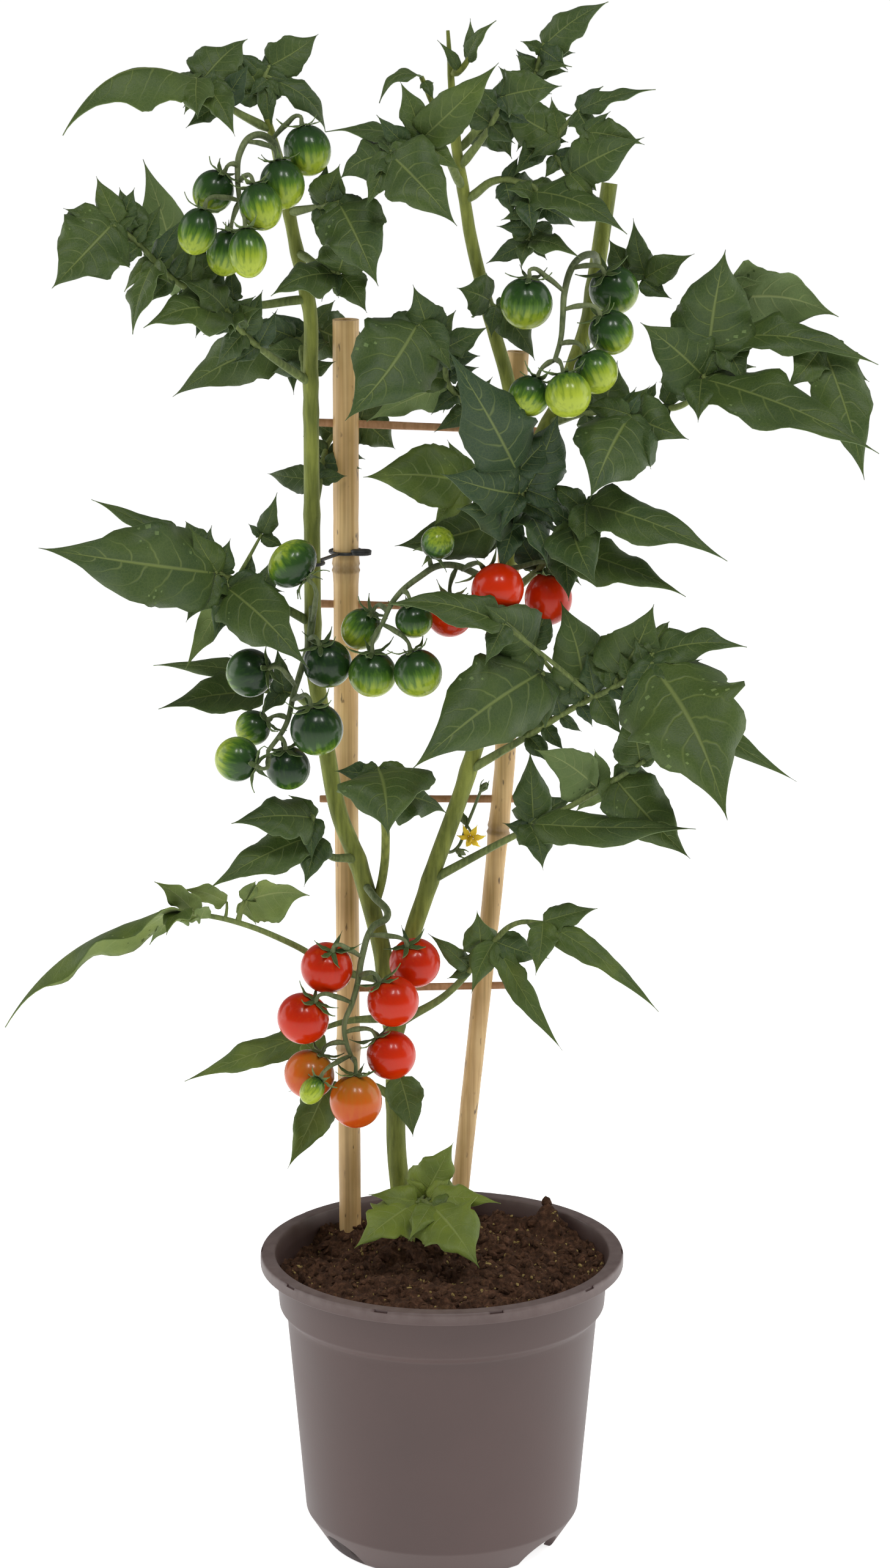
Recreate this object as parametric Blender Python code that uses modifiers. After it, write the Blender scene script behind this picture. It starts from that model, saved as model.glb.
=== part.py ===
"""A patio tomato plant, tied to a bamboo ladder, growing in a plastic nursery pot.

Metres, +Z up, -Y is the front. The origin lies on the pot's axis, where the pot meets the ground.
The plan of stems, leaves and fruit is written in millimetres and scaled by MM.
"""

import math
from collections import namedtuple

import bmesh
import bpy
from mathutils import Vector

# --- Driving dimensions ------------------------------------------------------------------------
MM = 0.001
GAP = 0.3 * MM  # clearance between pieces that touch
OBJECT_NAME = "tomato_plant"

# Pot, in millimetres: a 19 cm nursery pot with a turned-over rim and a shouldered wall.
POT_HEIGHT = 158.0
RIM_RADIUS = 95.0
RIM_INNER_RADIUS = 87.5
RIM_DEPTH = 6.5
WALL = 1.4
BAND_TOP = (87.6, 150.0)  # radius and height just under the rim
BAND_FOOT = (82.0, 120.0)
BODY_TOP = (80.0, 113.0)
BODY_FOOT = (72.0, 12.5)
FOOT_RADIUS = 60.5
FOOT_RING = 4.0
FLOOR_HEIGHT = 9.0
POT_SEGMENTS = 32
NOTCH_ANGLES = (58, 122, 238, 302)  # degrees from the front
NOTCH_WIDTH = 30.0
NOTCH_HEIGHT = 13.0

# Soil, in millimetres.
SOIL_LEVEL = 148.0
SOIL_RINGS = 9
MOUNDS = (  # x, y, height, spread
    (-49, 50, 8, 14),
    (-20, 24, 9, 15),
    (8, 46, 5, 12),
    (57, 55, 13, 9),
    (30, -30, 3, 26),
    (-66, 30, -6, 16),
)
LUMPS = (  # radians per millimetre across and deep, phase, height: crossing waves 16 to 20 mm long
    (0.31, 0.13, 1.1, 1.1),
    (-0.17, 0.27, 0.4, 1.0),
    (0.06, -0.38, 2.3, 1.0),
    (-0.36, -0.14, 4.0, 0.8),
)

# Bamboo ladder, in millimetres.
CANE_LEFT = ((-49, 46.5, 60), (-49, 48, 156), (-50, 51.5, 400), (-49, 55, 640))
CANE_LEFT_RADII = (5.7, 5.8, 6.3, 6.8)
CANE_LEFT_NODES = (255, 512)
CANE_RIGHT = ((-1, 46, 45), (8, 48, 159), (26, 52, 332), (33, 54, 408), (35, 57, 562), (39, 58, 623))
CANE_RIGHT_RADII = (4.4, 4.6, 5.1, 5.4, 5.6, 5.6)
CANE_RIGHT_NODES = (372,)
NODE_SWELLING = 0.9
RUNG_RADIUS = 2.0
RUNGS = {  # left end and right end
    "rung_top": ((-66, 55, 587), (51, 57, 582)),
    "rung_upper": ((-63, 55, 492), (50, 56, 489)),
    "rung_middle": ((-64, 54, 388), (48, 54, 388)),
    "rung_low": ((-60, 52, 285), (36, 52, 287)),
}

# Plant tie: two rings and the strap between them.
TIE_HEIGHT = 520
TIE_WIRE = 1.0

# Stems, in millimetres: the main stem forks into two leaders, and a third one is topped.
STEMS = {
    "left": (
        ((-19, 25, 134), (-20, 25, 161), (-24, 27, 205), (-25, 30, 264), (-31, 30, 311), (-43, 29, 359),
         (-53, 28, 386), (-59, 27, 418), (-66, 25, 470), (-66, 22, 525), (-66, 20, 590), (-66, 16, 650),
         (-73, 12, 684), (-81, 8, 727), (-86, 5, 747)),
        (5.4, 5.2, 5.0, 5.0, 4.9, 4.7, 4.5, 4.4, 4.3, 4.2, 3.9, 3.6, 3.3, 2.6, 1.6),
    ),
    "right": (
        ((-24, 28, 240), (-25, 30, 264), (-16, 30, 319), (-3, 31, 360), (11, 34, 399), (24, 34, 444),
         (34, 33, 509), (37, 31, 560), (35, 28, 604), (22, 23, 655), (14, 18, 689), (7, 10, 734),
         (5, 8, 760), (3, 5, 790)),
        (3.6, 4.6, 4.6, 4.5, 4.4, 4.2, 4.0, 3.8, 3.6, 3.4, 3.2, 2.6, 1.8, 0.9),
    ),
    "topped": (
        ((36, 32, 535), (43, 40, 568), (62, 48, 601), (75, 52, 641), (80, 55, 674), (85, 58, 709)),
        (3.6, 4.0, 4.2, 4.2, 4.2, 4.0),
    ),
    "shoot": (
        ((-37, 29, 330), (-31, 27, 352), (-29, 17, 378), (-30, 5, 400)),
        (2.2, 2.3, 2.2, 1.8),
    ),
}

# Leaves. A blade runs from its foot to its tip and is `width` wide. `face` is the way its upper side
# looks, `bend` lifts its middle towards that side and `fold` raises its edges, all in millimetres
# and radians. Blades reach back to the nearest point of their leaf's rachis.
Blade = namedtuple("Blade", "foot tip width face bend fold", defaults=(3, 0.2))
Leaf = namedtuple("Leaf", "stem height rachis blades")

SHOOTS = ("leaf_tip_shoot", "leaf_tip_curl", "leaf_base_small")  # of one piece with the stem

FRONT = (0.0, -1.0, 0.25)
LEFT_FRONT = (-0.6, -0.8, 0.25)
RIGHT_FRONT = (0.6, -0.8, 0.25)
RISING = (0.0, -0.7, 0.7)
UP = (0.0, -0.35, 0.95)
AWAY = (0.0, 0.9, 0.4)

LEAVES = {
    # Left leader, from the top down.
    "leaf_left_arch": Leaf("left", 741, [(-103, 0, 752), (-121, -12, 768)], [
        Blade((-121, -12, 768), (-184, -42, 746), 34, UP, 17, -0.5),
        Blade((-115, -9, 764), (-101, -26, 742), 15, FRONT),
        Blade((-118, -4, 766), (-96, 14, 786), 26, RISING),
    ]),
    "leaf_left_crown": Leaf("left", 742, [(-87, 7, 752), (-89, 10, 762), (-86, 13, 771)], [
        Blade((-85, 14, 772), (-61, 24, 787), 20, FRONT, 2),
        Blade((-91, 10, 762), (-104, 18, 780), 20, RISING),
        Blade((-82, 12, 765), (-57, 20, 739), 14, RIGHT_FRONT, 8),
    ]),
    "leaf_left_upper": Leaf("left", 656, [(-98, 2, 655), (-129, -12, 667), (-152, -24, 692),
                                          (-161, -28, 699)], [
        Blade((-161, -28, 699), (-190, -44, 670), 40, FRONT, 4, 0.3),
        Blade((-158, -27, 698), (-169, -24, 722), 14, FRONT),
        Blade((-151, -23, 692), (-158, -20, 716), 20, FRONT),
        Blade((-130, -12, 669), (-147, -4, 728), 27, AWAY, 3),
        Blade((-142, -18, 678), (-152, -44, 648), 20, LEFT_FRONT),
        Blade((-127, -10, 667), (-106, -2, 682), 17, FRONT),
    ]),
    "leaf_left_glossy": Leaf("left", 613, [(-88, -2, 632), (-102, -16, 648), (-106, -22, 656)], [
        Blade((-104, -18, 654), (-145, -46, 652), 30, RISING, 5),
        Blade((-106, -20, 655), (-128, -28, 672), 20, RISING),
        Blade((-102, -16, 650), (-89, -22, 657), 12, FRONT),
    ]),
    "leaf_left_shaded": Leaf("left", 598, [(-69, 34, 612), (-71, 52, 630), (-66, 64, 634)], [
        Blade((-76, 54, 630), (-139, 62, 599), 29, FRONT, 3),
        Blade((-65, 66, 634), (-36, 80, 622), 26, FRONT),
    ]),
    "leaf_left_saddle": Leaf("left", 680, [(-62, -2, 676), (-52, -10, 673)], [
        Blade((-53, -9, 672), (-84, -24, 664), 20, RISING, 3),
        Blade((-51, -10, 673), (-46, -18, 695), 24, FRONT),
        Blade((-50, -10, 672), (-37, -18, 654), 14, FRONT),
    ]),
    "leaf_left_pennant": Leaf("left", 700, [(-64, -4, 704), (-50, -22, 709)], [
        Blade((-50, -23, 708), (-31, -50, 672), 32, FRONT, 5),
        Blade((-58, -12, 706), (-50, -18, 727), 20, FRONT),
    ]),
    "leaf_left_wing": Leaf("left", 488, [(-88, 14, 503), (-106, 2, 516), (-120, -6, 525)], [
        Blade((-114, -4, 520), (-198, -50, 542), 44, FRONT, 6),
        Blade((-124, -2, 530), (-177, 12, 556), 14, RISING),
        Blade((-108, -2, 512), (-67, -45, 481), 32, FRONT, 4),
        Blade((-107, 4, 512), (-131, 8, 468), 17, AWAY, 5),
        Blade((-91, 8, 538), (-83, 2, 560), 10, FRONT),
    ]),
    "leaf_left_nook": Leaf("left", 545, [(-63, 36, 556), (-61, 52, 568), (-54, 69, 580), (-42, 71, 586)], [
        Blade((-64, 40, 560), (-90, 52, 561), 14, FRONT),
        Blade((-41, 71, 586), (-24, 72, 570), 20, FRONT),
        Blade((-42, 71, 586), (-34, 74, 612), 18, FRONT),
    ]),
    "leaf_left_back": Leaf("left", 440, [(-76, 38, 447), (-90, 44, 448)], [
        Blade((-92, 43, 448), (-146, 30, 443), 24, RISING, 4),
        Blade((-80, 48, 453), (-150, 54, 461), 16, RISING, 6),
    ]),
    "leaf_left_shelf": Leaf("left", 362, [(-58, 10, 369), (-66, 2, 380), (-66, -4, 394)], [
        Blade((-66, -2, 392), (-106, -24, 396), 27, RISING, 4),
        Blade((-66, 0, 382), (-119, -22, 361), 24, RISING, 4),
    ]),
    "leaf_centre_apron": Leaf("shoot", 392, [(-31, -10, 412), (-32, -16, 420)], [
        Blade((-32, -15, 421), (-27, -54, 397), 46, FRONT, 6),
        Blade((-30, -8, 405), (3, 4, 394), 26, RISING, 3),
    ]),
    "leaf_left_long": Leaf("left", 296, [(-52, 14, 306), (-78, 0, 325), (-106, -12, 340), (-134, -24, 349)], [
        Blade((-132, -23, 348), (-219, -72, 302), 38, (0, 0.5, 0.85), 14, -0.3),
        Blade((-110, -10, 350), (-132, -14, 358), 14, AWAY),
        Blade((-100, -7, 350), (-68, -2, 352), 30, AWAY, 2, -0.3),
        Blade((-124, -20, 345), (-146, -20, 364), 16, AWAY),
    ]),
    "leaf_left_low": Leaf("left", 276, [(-50, 36, 272), (-68, 36, 266)], [
        Blade((-68, 36, 266), (-136, 30, 242), 17, RISING, 3),
    ]),
    "leaf_left_hanging": Leaf("left", 232, [(-36, 26, 240), (-58, 28, 240)], [
        Blade((-60, 27, 240), (-80, -5, 205), 20, FRONT, 3),
    ]),
    "leaf_base_small": Leaf("left", 250, [(-22, 18, 250)], [
        Blade((-22, 16, 248), (-15, 8, 217), 20, FRONT, 2),
    ]),
    "leaf_basal_shoot": Leaf("left", 172, [(-16, 12, 180), (-11, 3, 184), (-5, -8, 185)], [
        Blade((-5, -9, 185), (19, -46, 166), 34, RISING, 3),
        Blade((-14, 0, 184), (-45, -28, 170), 27, RISING, 3),
        Blade((-9, 7, 186), (6, 12, 213), 21, FRONT),
        Blade((-6, 1, 186), (30, -16, 190), 16, RISING),
    ]),
    # Right leader, from the top down.
    "leaf_tip_shoot": Leaf("right", 768, [(10, 2, 772), (14, 0, 778)], [
        Blade((12, 1, 775), (26, -6, 796), 9, LEFT_FRONT),
        Blade((13, 1, 776), (14, 6, 796), 6, FRONT),
        Blade((8, 2, 771), (-2, -4, 786), 6, FRONT),
    ]),
    "leaf_tip_curl": Leaf("right", 738, [(-2, 4, 750), (-10, -2, 768)], [
        Blade((-10, -2, 768), (-31, -12, 757), 11, UP, 8),
        Blade((-9, -1, 766), (-4, -8, 757), 7, FRONT),
    ]),
    "leaf_top_spire": Leaf("right", 752, [(20, 18, 752), (40, 28, 752), (48, 30, 772), (51, 29, 782)], [
        Blade((50, 29, 780), (82, 26, 803), 20, LEFT_FRONT, 3),
        Blade((46, 29, 768), (37, 30, 776), 10, FRONT),
        Blade((48, 28, 768), (64, 16, 772), 8, RISING),
    ]),
    "leaf_top_cup": Leaf("right", 722, [(22, -2, 741), (30, -14, 757)], [
        Blade((30, -15, 760), (58, -26, 766), 24, FRONT, 3, 0.3),
    ]),
    "leaf_top_sail": Leaf("right", 712, [(0, -12, 732), (-12, -26, 739), (-25, -36, 735)], [
        Blade((-25, -36, 734), (7, -62, 703), 32, FRONT, 5),
        Blade((-25, -35, 734), (-50, -30, 722), 26, RISING),
        Blade((-10, -24, 740), (-57, -12, 744), 20, UP, 3),
        Blade((-9, -25, 741), (27, -38, 778), 24, FRONT, 4),
    ]),
    "leaf_top_fan": Leaf("right", 730, [(20, 16, 742), (40, 18, 748), (54, 6, 732), (63, -6, 719)], [
        Blade((64, -8, 722), (98, -26, 741), 26, FRONT, 3),
        Blade((68, -2, 752), (104, -14, 764), 12, RISING),
        Blade((72, -12, 742), (99, -20, 737), 15, FRONT, 4),
        Blade((57, 4, 738), (26, 10, 756), 22, FRONT),
        Blade((34, 16, 744), (11, 24, 732), 20, FRONT),
    ]),
    "leaf_top_branch": Leaf("right", 705, [(26, 8, 716), (38, 2, 716), (48, -4, 711), (44, 2, 692),
                                           (41, 5, 679)], [
        Blade((44, -3, 712), (90, -38, 697), 22, RISING, 4),
        Blade((47, -2, 710), (31, -10, 714), 14, RISING),
        Blade((44, 2, 690), (33, 6, 699), 16, FRONT),
        Blade((44, 1, 687), (68, -18, 682), 14, RISING, 5),
        Blade((36, 6, 715), (44, 26, 700), 13, FRONT),
    ]),
    "leaf_upper_star": Leaf("right", 648, [(25, 12, 654)], [
        Blade((24, 10, 656), (8, -2, 664), 22, FRONT),
        Blade((28, 11, 652), (47, 14, 625), 15, FRONT, 3),
    ]),
    "leaf_upper_flag": Leaf("right", 574, [(18, 20, 598), (4, 6, 613), (0, -6, 632), (-11, -17, 647)], [
        Blade((-12, -18, 648), (-47, -50, 606), 46, FRONT, 5),
        Blade((0, -8, 634), (23, -17, 647), 15, FRONT),
        Blade((2, 6, 614), (-38, 16, 595), 20, AWAY, 3),
        Blade((-6, -12, 642), (-14, -22, 668), 18, FRONT),
    ]),
    "leaf_centre_blue": Leaf("right", 540, [(39, 14, 548), (41, -4, 557), (38, -14, 570)], [
        Blade((37, -17, 575), (3, -46, 640), 36, FRONT, 10),
        Blade((38, -12, 562), (0, -44, 578), 28, FRONT, 3),
        Blade((36, -2, 546), (8, -42, 560), 22, FRONT, 3),
        Blade((43, -10, 565), (58, -18, 604), 26, FRONT, 2),
        Blade((43, 2, 552), (53, -26, 528), 20, RIGHT_FRONT, 2),
    ]),
    "leaf_centre_left": Leaf("right", 550, [(25, 20, 556), (14, 9, 564)], [
        Blade((12, 7, 565), (-39, -14, 571), 34, FRONT, 3),
        Blade((28, 21, 541), (-24, 17, 530), 28, FRONT, 1),
    ]),
    "leaf_right_lower": Leaf("right", 500, [(46, 22, 514), (60, 6, 532), (72, -12, 556)], [
        Blade((73, -14, 557), (141, -46, 537), 27, RISING, 8),
        Blade((65, -9, 545), (76, -50, 524), 26, FRONT, 3),
        Blade((64, 4, 530), (121, -34, 516), 25, RISING, 4),
    ]),
    "leaf_right_big": Leaf("right", 408, [(40, 18, 428), (66, 0, 449), (90, -21, 467), (105, -34, 480)], [
        Blade((105, -36, 480), (140, -91, 415), 58, FRONT, 6),
        Blade((106, -28, 484), (152, -36, 490), 20, RISING, 4),
        Blade((72, -4, 460), (60, -8, 506), 32, FRONT, 3),
        Blade((88, -16, 470), (106, -24, 508), 32, FRONT, 3),
        Blade((104, -30, 470), (177, -52, 424), 17, FRONT, 5),
        Blade((50, -10, 470), (-14, -65, 434), 44, FRONT, 6),
        Blade((46, -6, 482), (21, -34, 510), 28, FRONT, 3),
        Blade((30, -27, 499), (-28, -36, 512), 19, RISING, 4),
    ]),
    "leaf_right_swept": Leaf("right", 350, [(27, 18, 372), (50, 4, 388), (79, -12, 409), (102, -26, 428)], [
        Blade((46, 2, 388), (126, -46, 400), 22, RISING, 4),
        Blade((79, -10, 410), (48, 2, 428), 27, AWAY, 2),
        Blade((100, -24, 427), (92, -18, 452), 22, FRONT),
        Blade((88, -16, 416), (125, -40, 381), 29, FRONT, 3),
        Blade((47, 6, 386), (45, 4, 426), 18, FRONT, 2),
    ]),
    "leaf_right_hook": Leaf("right", 272, [(2, 24, 290), (24, 14, 318), (38, 2, 335), (54, -8, 338)], [
        Blade((53, -8, 338), (111, -32, 299), 15, RISING, 6),
        Blade((28, 10, 322), (62, -12, 271), 14, FRONT, 4),
        Blade((20, 16, 314), (18, 8, 340), 19, FRONT),
        Blade((14, 19, 306), (-7, 14, 326), 10, FRONT),
    ]),
    # Topped leader.
    "leaf_far_right": Leaf("topped", 606, [(98, 30, 602), (121, 12, 603), (131, 2, 620), (136, 2, 634)], [
        Blade((133, 0, 632), (140, -12, 684), 42, FRONT, 3),
        Blade((131, 0, 618), (214, -52, 592), 34, RISING, 6),
        Blade((130, 1, 620), (99, -12, 648), 32, FRONT, 3),
        Blade((140, 6, 638), (216, -18, 630), 20, RISING, 8),
        Blade((190, -4, 634), (210, -26, 572), 28, FRONT, 3),
        Blade((139, 8, 656), (198, 4, 650), 40, AWAY, 6),
    ]),
    "leaf_right_mid": Leaf("topped", 588, [(70, 26, 596), (86, 2, 601), (93, -16, 602)], [
        Blade((93, -18, 602), (73, -54, 568), 38, FRONT, 4),
        Blade((92, -4, 601), (122, -24, 592), 26, FRONT),
        Blade((82, 10, 604), (88, 8, 626), 20, FRONT),
    ]),
    "leaf_topped_small": Leaf("topped", 655, [(92, 38, 662), (100, 34, 664)], [
        Blade((102, 33, 667), (96, 24, 695), 12, FRONT),
        Blade((94, 36, 664), (84, 32, 684), 16, FRONT),
        Blade((102, 33, 664), (126, 20, 678), 14, FRONT),
    ]),
}

# Fruit trusses. A fruit hangs by its calyx, which sits on the side that `axis` points to.
Fruit = namedtuple("Fruit", "centre radius height ripe axis", defaults=(1.0, "", (0.1, -0.5, 0.86)))
Truss = namedtuple("Truss", "stem height stalk fruits")

TRUSSES = {
    "truss_low": Truss("left", 349, [(-35, 17, 345), (-28, 12, 337), (-36, 4, 332), (-41, -8, 320),
                                     (-43, -14, 309), (-46, -17, 298), (-50, -18, 287), (-49, -19, 277),
                                     (-46, -20, 269)], [
        Fruit((-59, -14, 316), 13.4, 0.97, "tomato_low_1", (0.25, -0.5, 0.83)),
        Fruit((-71, -24, 292), 13.4, 0.97, "tomato_low_2", (0.5, -0.3, 0.81)),
        Fruit((-68, -24, 262), 13.0, 0.97, "tomato_low_3", (0.5, 0.1, 0.86)),
        Fruit((-44, -34, 251), 13.4, 1.05, "tomato_low_4", (0.0, 0.1, 1.0)),
        Fruit((-26, -20, 271), 12.8, 0.98, "tomato_low_5", (-0.6, 0.0, 0.8)),
        Fruit((-25, -22, 300.5), 13.4, 0.97, "tomato_low_6", (-0.5, -0.1, 0.86)),
        Fruit((-14, 2, 314), 13.2, 0.97, "tomato_low_7", (-0.3, -0.45, 0.84)),
        Fruit((-66, -45, 260), 6.0, 1.25, "", (0.5, 0.5, 0.7)),
    ]),
    "truss_left": Truss("left", 498, [(-66, 8, 492), (-68, 4, 480), (-72, 2, 467), (-75, -4, 458),
                                      (-79, -10, 443), (-88, -18, 431)], [
        Fruit((-75, -9, 526), 13.4, 0.82, "", (0.7, -0.2, -0.68)),
        Fruit((-97, -10, 470), 12.2, 1.0, "", (0.8, -0.5, 0.3)),
        Fruit((-58, -2, 473), 12.4, 1.0, "", (-0.3, -0.4, 0.86)),
        Fruit((-63, -24, 444), 13.4, 1.0, "", (-0.2, -0.2, 0.96)),
        Fruit((-78, -12, 421), 11.2, 1.0, "", (-0.1, -0.3, 0.95)),
        Fruit((-103, -30, 430), 11.3, 1.0, "", (0.8, -0.4, -0.2)),
        Fruit((-96, -4, 440), 9.0, 1.0, "", (0.8, -0.2, 0.5)),
    ]),
    "truss_centre": Truss("right", 502, [(20, 18, 514), (2, 8, 522), (-12, -6, 518), (-24, -12, 508),
                                         (-30, -14, 496)], [
        Fruit((-35, -12, 470), 12.2, 0.98, "", (0.0, -0.2, 0.98)),
        Fruit((-12, -24, 473), 12.2, 1.0, "", (-0.3, 0.1, 0.95)),
        Fruit((-41, 7, 489), 10.0, 1.1, "", (0.5, -0.2, 0.8)),
        Fruit((-14, -14, 498), 9.5, 0.95, "", (-0.2, -0.1, 0.96)),
        Fruit((28, -10, 513), 13.6, 0.95, "tomato_centre_1", (-0.5, 0.6, 0.65)),
        Fruit((54, 6, 505), 12.0, 1.15, "tomato_centre_2", (0.05, -0.1, 0.97)),
        Fruit((4, 2, 497), 11.5, 0.95, "tomato_centre_3", (0.0, 0.5, 0.86)),
        Fruit((-2, -6, 536), 8.5, 1.0, "", (-0.3, 0.6, -0.7)),
    ]),
    "truss_right": Truss("topped", 668, [(76, 34, 676), (66, 12, 674), (61, -2, 662), (60, -8, 650),
                                         (59, -12, 640), (56, -16, 630)], [
        Fruit((42, -6, 657), 13.0, 1.0, "", (0.1, -0.1, 0.98)),
        Fruit((86, 12, 661), 12.4, 1.0, "", (-0.4, -0.5, 0.76)),
        Fruit((84, -10, 643), 11.2, 1.0, "", (-0.5, -0.2, 0.85)),
        Fruit((76, -27, 626), 11.0, 1.0, "", (-0.5, 0.2, 0.85)),
        Fruit((62, -42, 617), 11.4, 1.0, "", (-0.2, 0.5, 0.85)),
        Fruit((43, -28, 614), 10.2, 1.0, "", (0.4, 0.4, 0.85)),
    ]),
    "truss_top": Truss("left", 724, [(-84, -2, 737), (-93, -10, 740), (-99, -16, 732), (-100, -20, 722),
                                     (-99, -24, 710)], [
        Fruit((-66, -10, 733), 11.6, 1.1, "", (-0.2, 0.1, 0.97)),
        Fruit((-78, -24, 718), 11.0, 1.12, "", (-0.2, 0.2, 0.96)),
        Fruit((-88, -40, 709), 10.4, 1.15, "", (-0.3, 0.4, 0.87)),
        Fruit((-94, -52, 688), 9.4, 1.3, "", (-0.1, 0.3, 0.95)),
        Fruit((-119, -40, 697), 9.4, 1.25, "", (0.3, 0.2, 0.93)),
        Fruit((-112, -20, 714), 10.0, 1.1, "", (0.5, -0.1, 0.86)),
        Fruit((-106, -22, 684), 9.6, 1.2, "", (0.2, 0.0, 0.98)),
    ]),
}

# Flower truss: stalk, buds and one open bloom.
FLOWER_STALK = ((-1, 32, 366), (7, 41, 364), (13, 42, 377), (20, 38, 396))
BUDS = (((20, 38, 396), (0.6, -0.3, 1)), ((13, 42, 377), (-0.6, 0.6, 1)), ((7, 41, 364), (1, 0.3, -0.6)))
BLOOM = ((15, 35, 372), (-0.2, -0.9, -0.3))

ROW_LENGTHS = (30.0, 50.0)  # a blade longer than each of these gets one more row of lobes
BLADE_THICKNESS = 0.7
STALK_HALF_WIDTH = 0.7
LOBE_SHARE = 1.12  # the margin swings between lobes and notches about the blade's width
NOTCH_SHARE = 0.94
RACHIS_RADIUS = 1.5
STALK_RADIUS = 1.5
PEDICEL_RADIUS = 1.0
CALYX_THICKNESS = 0.8
CALYX_GAP = 0.45
FRUIT_RINGS = (42, 88, 134, 180)  # degrees from the stalk end


# --- Small tools ---------------------------------------------------------------------------------
def clear_scene():
    for old in list(bpy.data.objects):
        bpy.data.objects.remove(old, do_unlink=True)


def new_collection(name, hidden=False):
    made = bpy.data.collections.new(name)
    bpy.context.scene.collection.children.link(made)
    made.hide_render = hidden
    return made


def metres(point):
    return Vector(point) * MM


def finish(name, colour, roughness):
    """A Principled material; colour is linear RGB."""
    made = bpy.data.materials.new(name)
    made.use_nodes = True
    shader = made.node_tree.nodes["Principled BSDF"]
    shader.inputs["Base Color"].default_value = (*colour, 1.0)
    shader.inputs["Roughness"].default_value = roughness
    shader.inputs["Metallic"].default_value = 0.0
    made.diffuse_color = (*colour, 1.0)
    return made


def put(name, data, collection, material=None):
    placed = bpy.data.objects.new(name, data)
    collection.objects.link(placed)
    if material:
        data.materials.clear()
        data.materials.append(material)
    return placed


def paint(made, material):
    made.data.materials.clear()
    made.data.materials.append(material)


def from_bmesh(name, bm, collection, material=None):
    data = bpy.data.meshes.new(name)
    bm.to_mesh(data)
    bm.free()
    return put(name, data, collection, material)


def applied(source, name=None):
    """A copy of the object's evaluated shape as a plain mesh; the source object is removed."""
    bpy.context.view_layer.update()
    graph = bpy.context.evaluated_depsgraph_get()
    data = bpy.data.meshes.new_from_object(source.evaluated_get(graph))
    home = source.users_collection[0]
    label = name or source.name
    world = source.matrix_world.copy()
    bpy.data.objects.remove(source, do_unlink=True)
    made = put(label, data, home)
    made.matrix_world = world
    return made


def boolean(target, operation, operand, solver="EXACT"):
    """One Boolean with an object or with everything in a collection, applied at once."""
    modifier = target.modifiers.new(operation.lower(), "BOOLEAN")
    modifier.operation = operation
    modifier.solver = solver
    if isinstance(operand, bpy.types.Collection):
        modifier.operand_type = "COLLECTION"
        modifier.collection = operand
    else:
        modifier.object = operand
    return applied(target)


def tube(name, points, radii, collection, sides=6):
    """A capped round tube through points in millimetres, as a closed mesh."""
    curve = bpy.data.curves.new(name, "CURVE")
    curve.dimensions = "3D"
    curve.bevel_depth = 1.0
    curve.bevel_resolution = sides // 2 - 2
    curve.use_fill_caps = True
    spline = curve.splines.new("POLY")
    spline.points.add(len(points) - 1)
    for slot, place, radius in zip(spline.points, points, radii):
        slot.co = (*metres(place), 1.0)
        slot.radius = radius * MM
    made = applied(put(name, curve, collection))
    bm = bmesh.new()
    bm.from_mesh(made.data)
    bmesh.ops.remove_doubles(bm, verts=bm.verts, dist=1e-6)
    bm.to_mesh(made.data)
    bm.free()
    return made


def turned(name, profile, collection, segments):
    """A profile of (radius, height) in millimetres, turned about Z; its outer side runs downwards."""
    bm = bmesh.new()
    corners = [bm.verts.new((radius * MM, 0, height * MM)) for radius, height in profile]
    for first, second in zip(corners, corners[1:]):
        bm.edges.new((first, second))
    made = from_bmesh(name, bm, collection)
    screw = made.modifiers.new("turn", "SCREW")
    screw.steps = segments
    screw.render_steps = segments
    screw.use_merge_vertices = True
    screw.merge_threshold = 1e-5
    return applied(made)


def turn_to(made, direction):
    """Points the object's Z axis along the direction."""
    made.rotation_mode = "QUATERNION"
    made.rotation_quaternion = Vector((0, 0, 1)).rotation_difference(Vector(direction))


def shade(made):
    made.data.shade_smooth()
    made.data.set_sharp_from_angle(angle=math.radians(40))


# --- Stems ---------------------------------------------------------------------------------------
STEM_LINES = {name: [Vector(p) for p in points] for name, (points, radii) in STEMS.items()}


def on_stem(stem, height):
    """The point of a stem's centre line at a height."""
    line = STEM_LINES[stem]
    for low, high in zip(line, line[1:]):
        if low.z <= height <= high.z:
            return low.lerp(high, (height - low.z) / (high.z - low.z))
    return line[-1]


def stem_tubes(collection, extra):
    """Every stem as a tube, `extra` millimetres thicker and longer than it is."""
    made = []
    for name, (points, radii) in STEMS.items():
        line = [Vector(p) for p in points]
        line[0] += (line[0] - line[1]).normalized() * extra
        line[-1] += (line[-1] - line[-2]).normalized() * extra
        wide = [radius + extra for radius in radii]
        made.append(tube(f"stem_{name}", line, wide, collection, sides=6))
    return made


# --- Leaves --------------------------------------------------------------------------------------
def blade_half_width(t):
    """Half-width of an ovate, long-pointed blade, as a share of its widest."""
    return math.sin(math.pi * t ** 0.62)


def midrib_point(blade, t):
    foot, tip = Vector(blade.foot), Vector(blade.tip)
    along = (tip - foot).normalized()
    normal = Vector(blade.face)
    normal = (normal - normal.dot(along) * along).normalized()
    return foot.lerp(tip, t) + normal * (blade.bend * 4 * t * (1 - t)), normal


def blade_rows(blade):
    """How many cross-rows a blade gets between its foot and its tip; long ones have more lobes."""
    length = (Vector(blade.tip) - Vector(blade.foot)).length
    return 2 + sum(length > limit for limit in ROW_LENGTHS)


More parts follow.
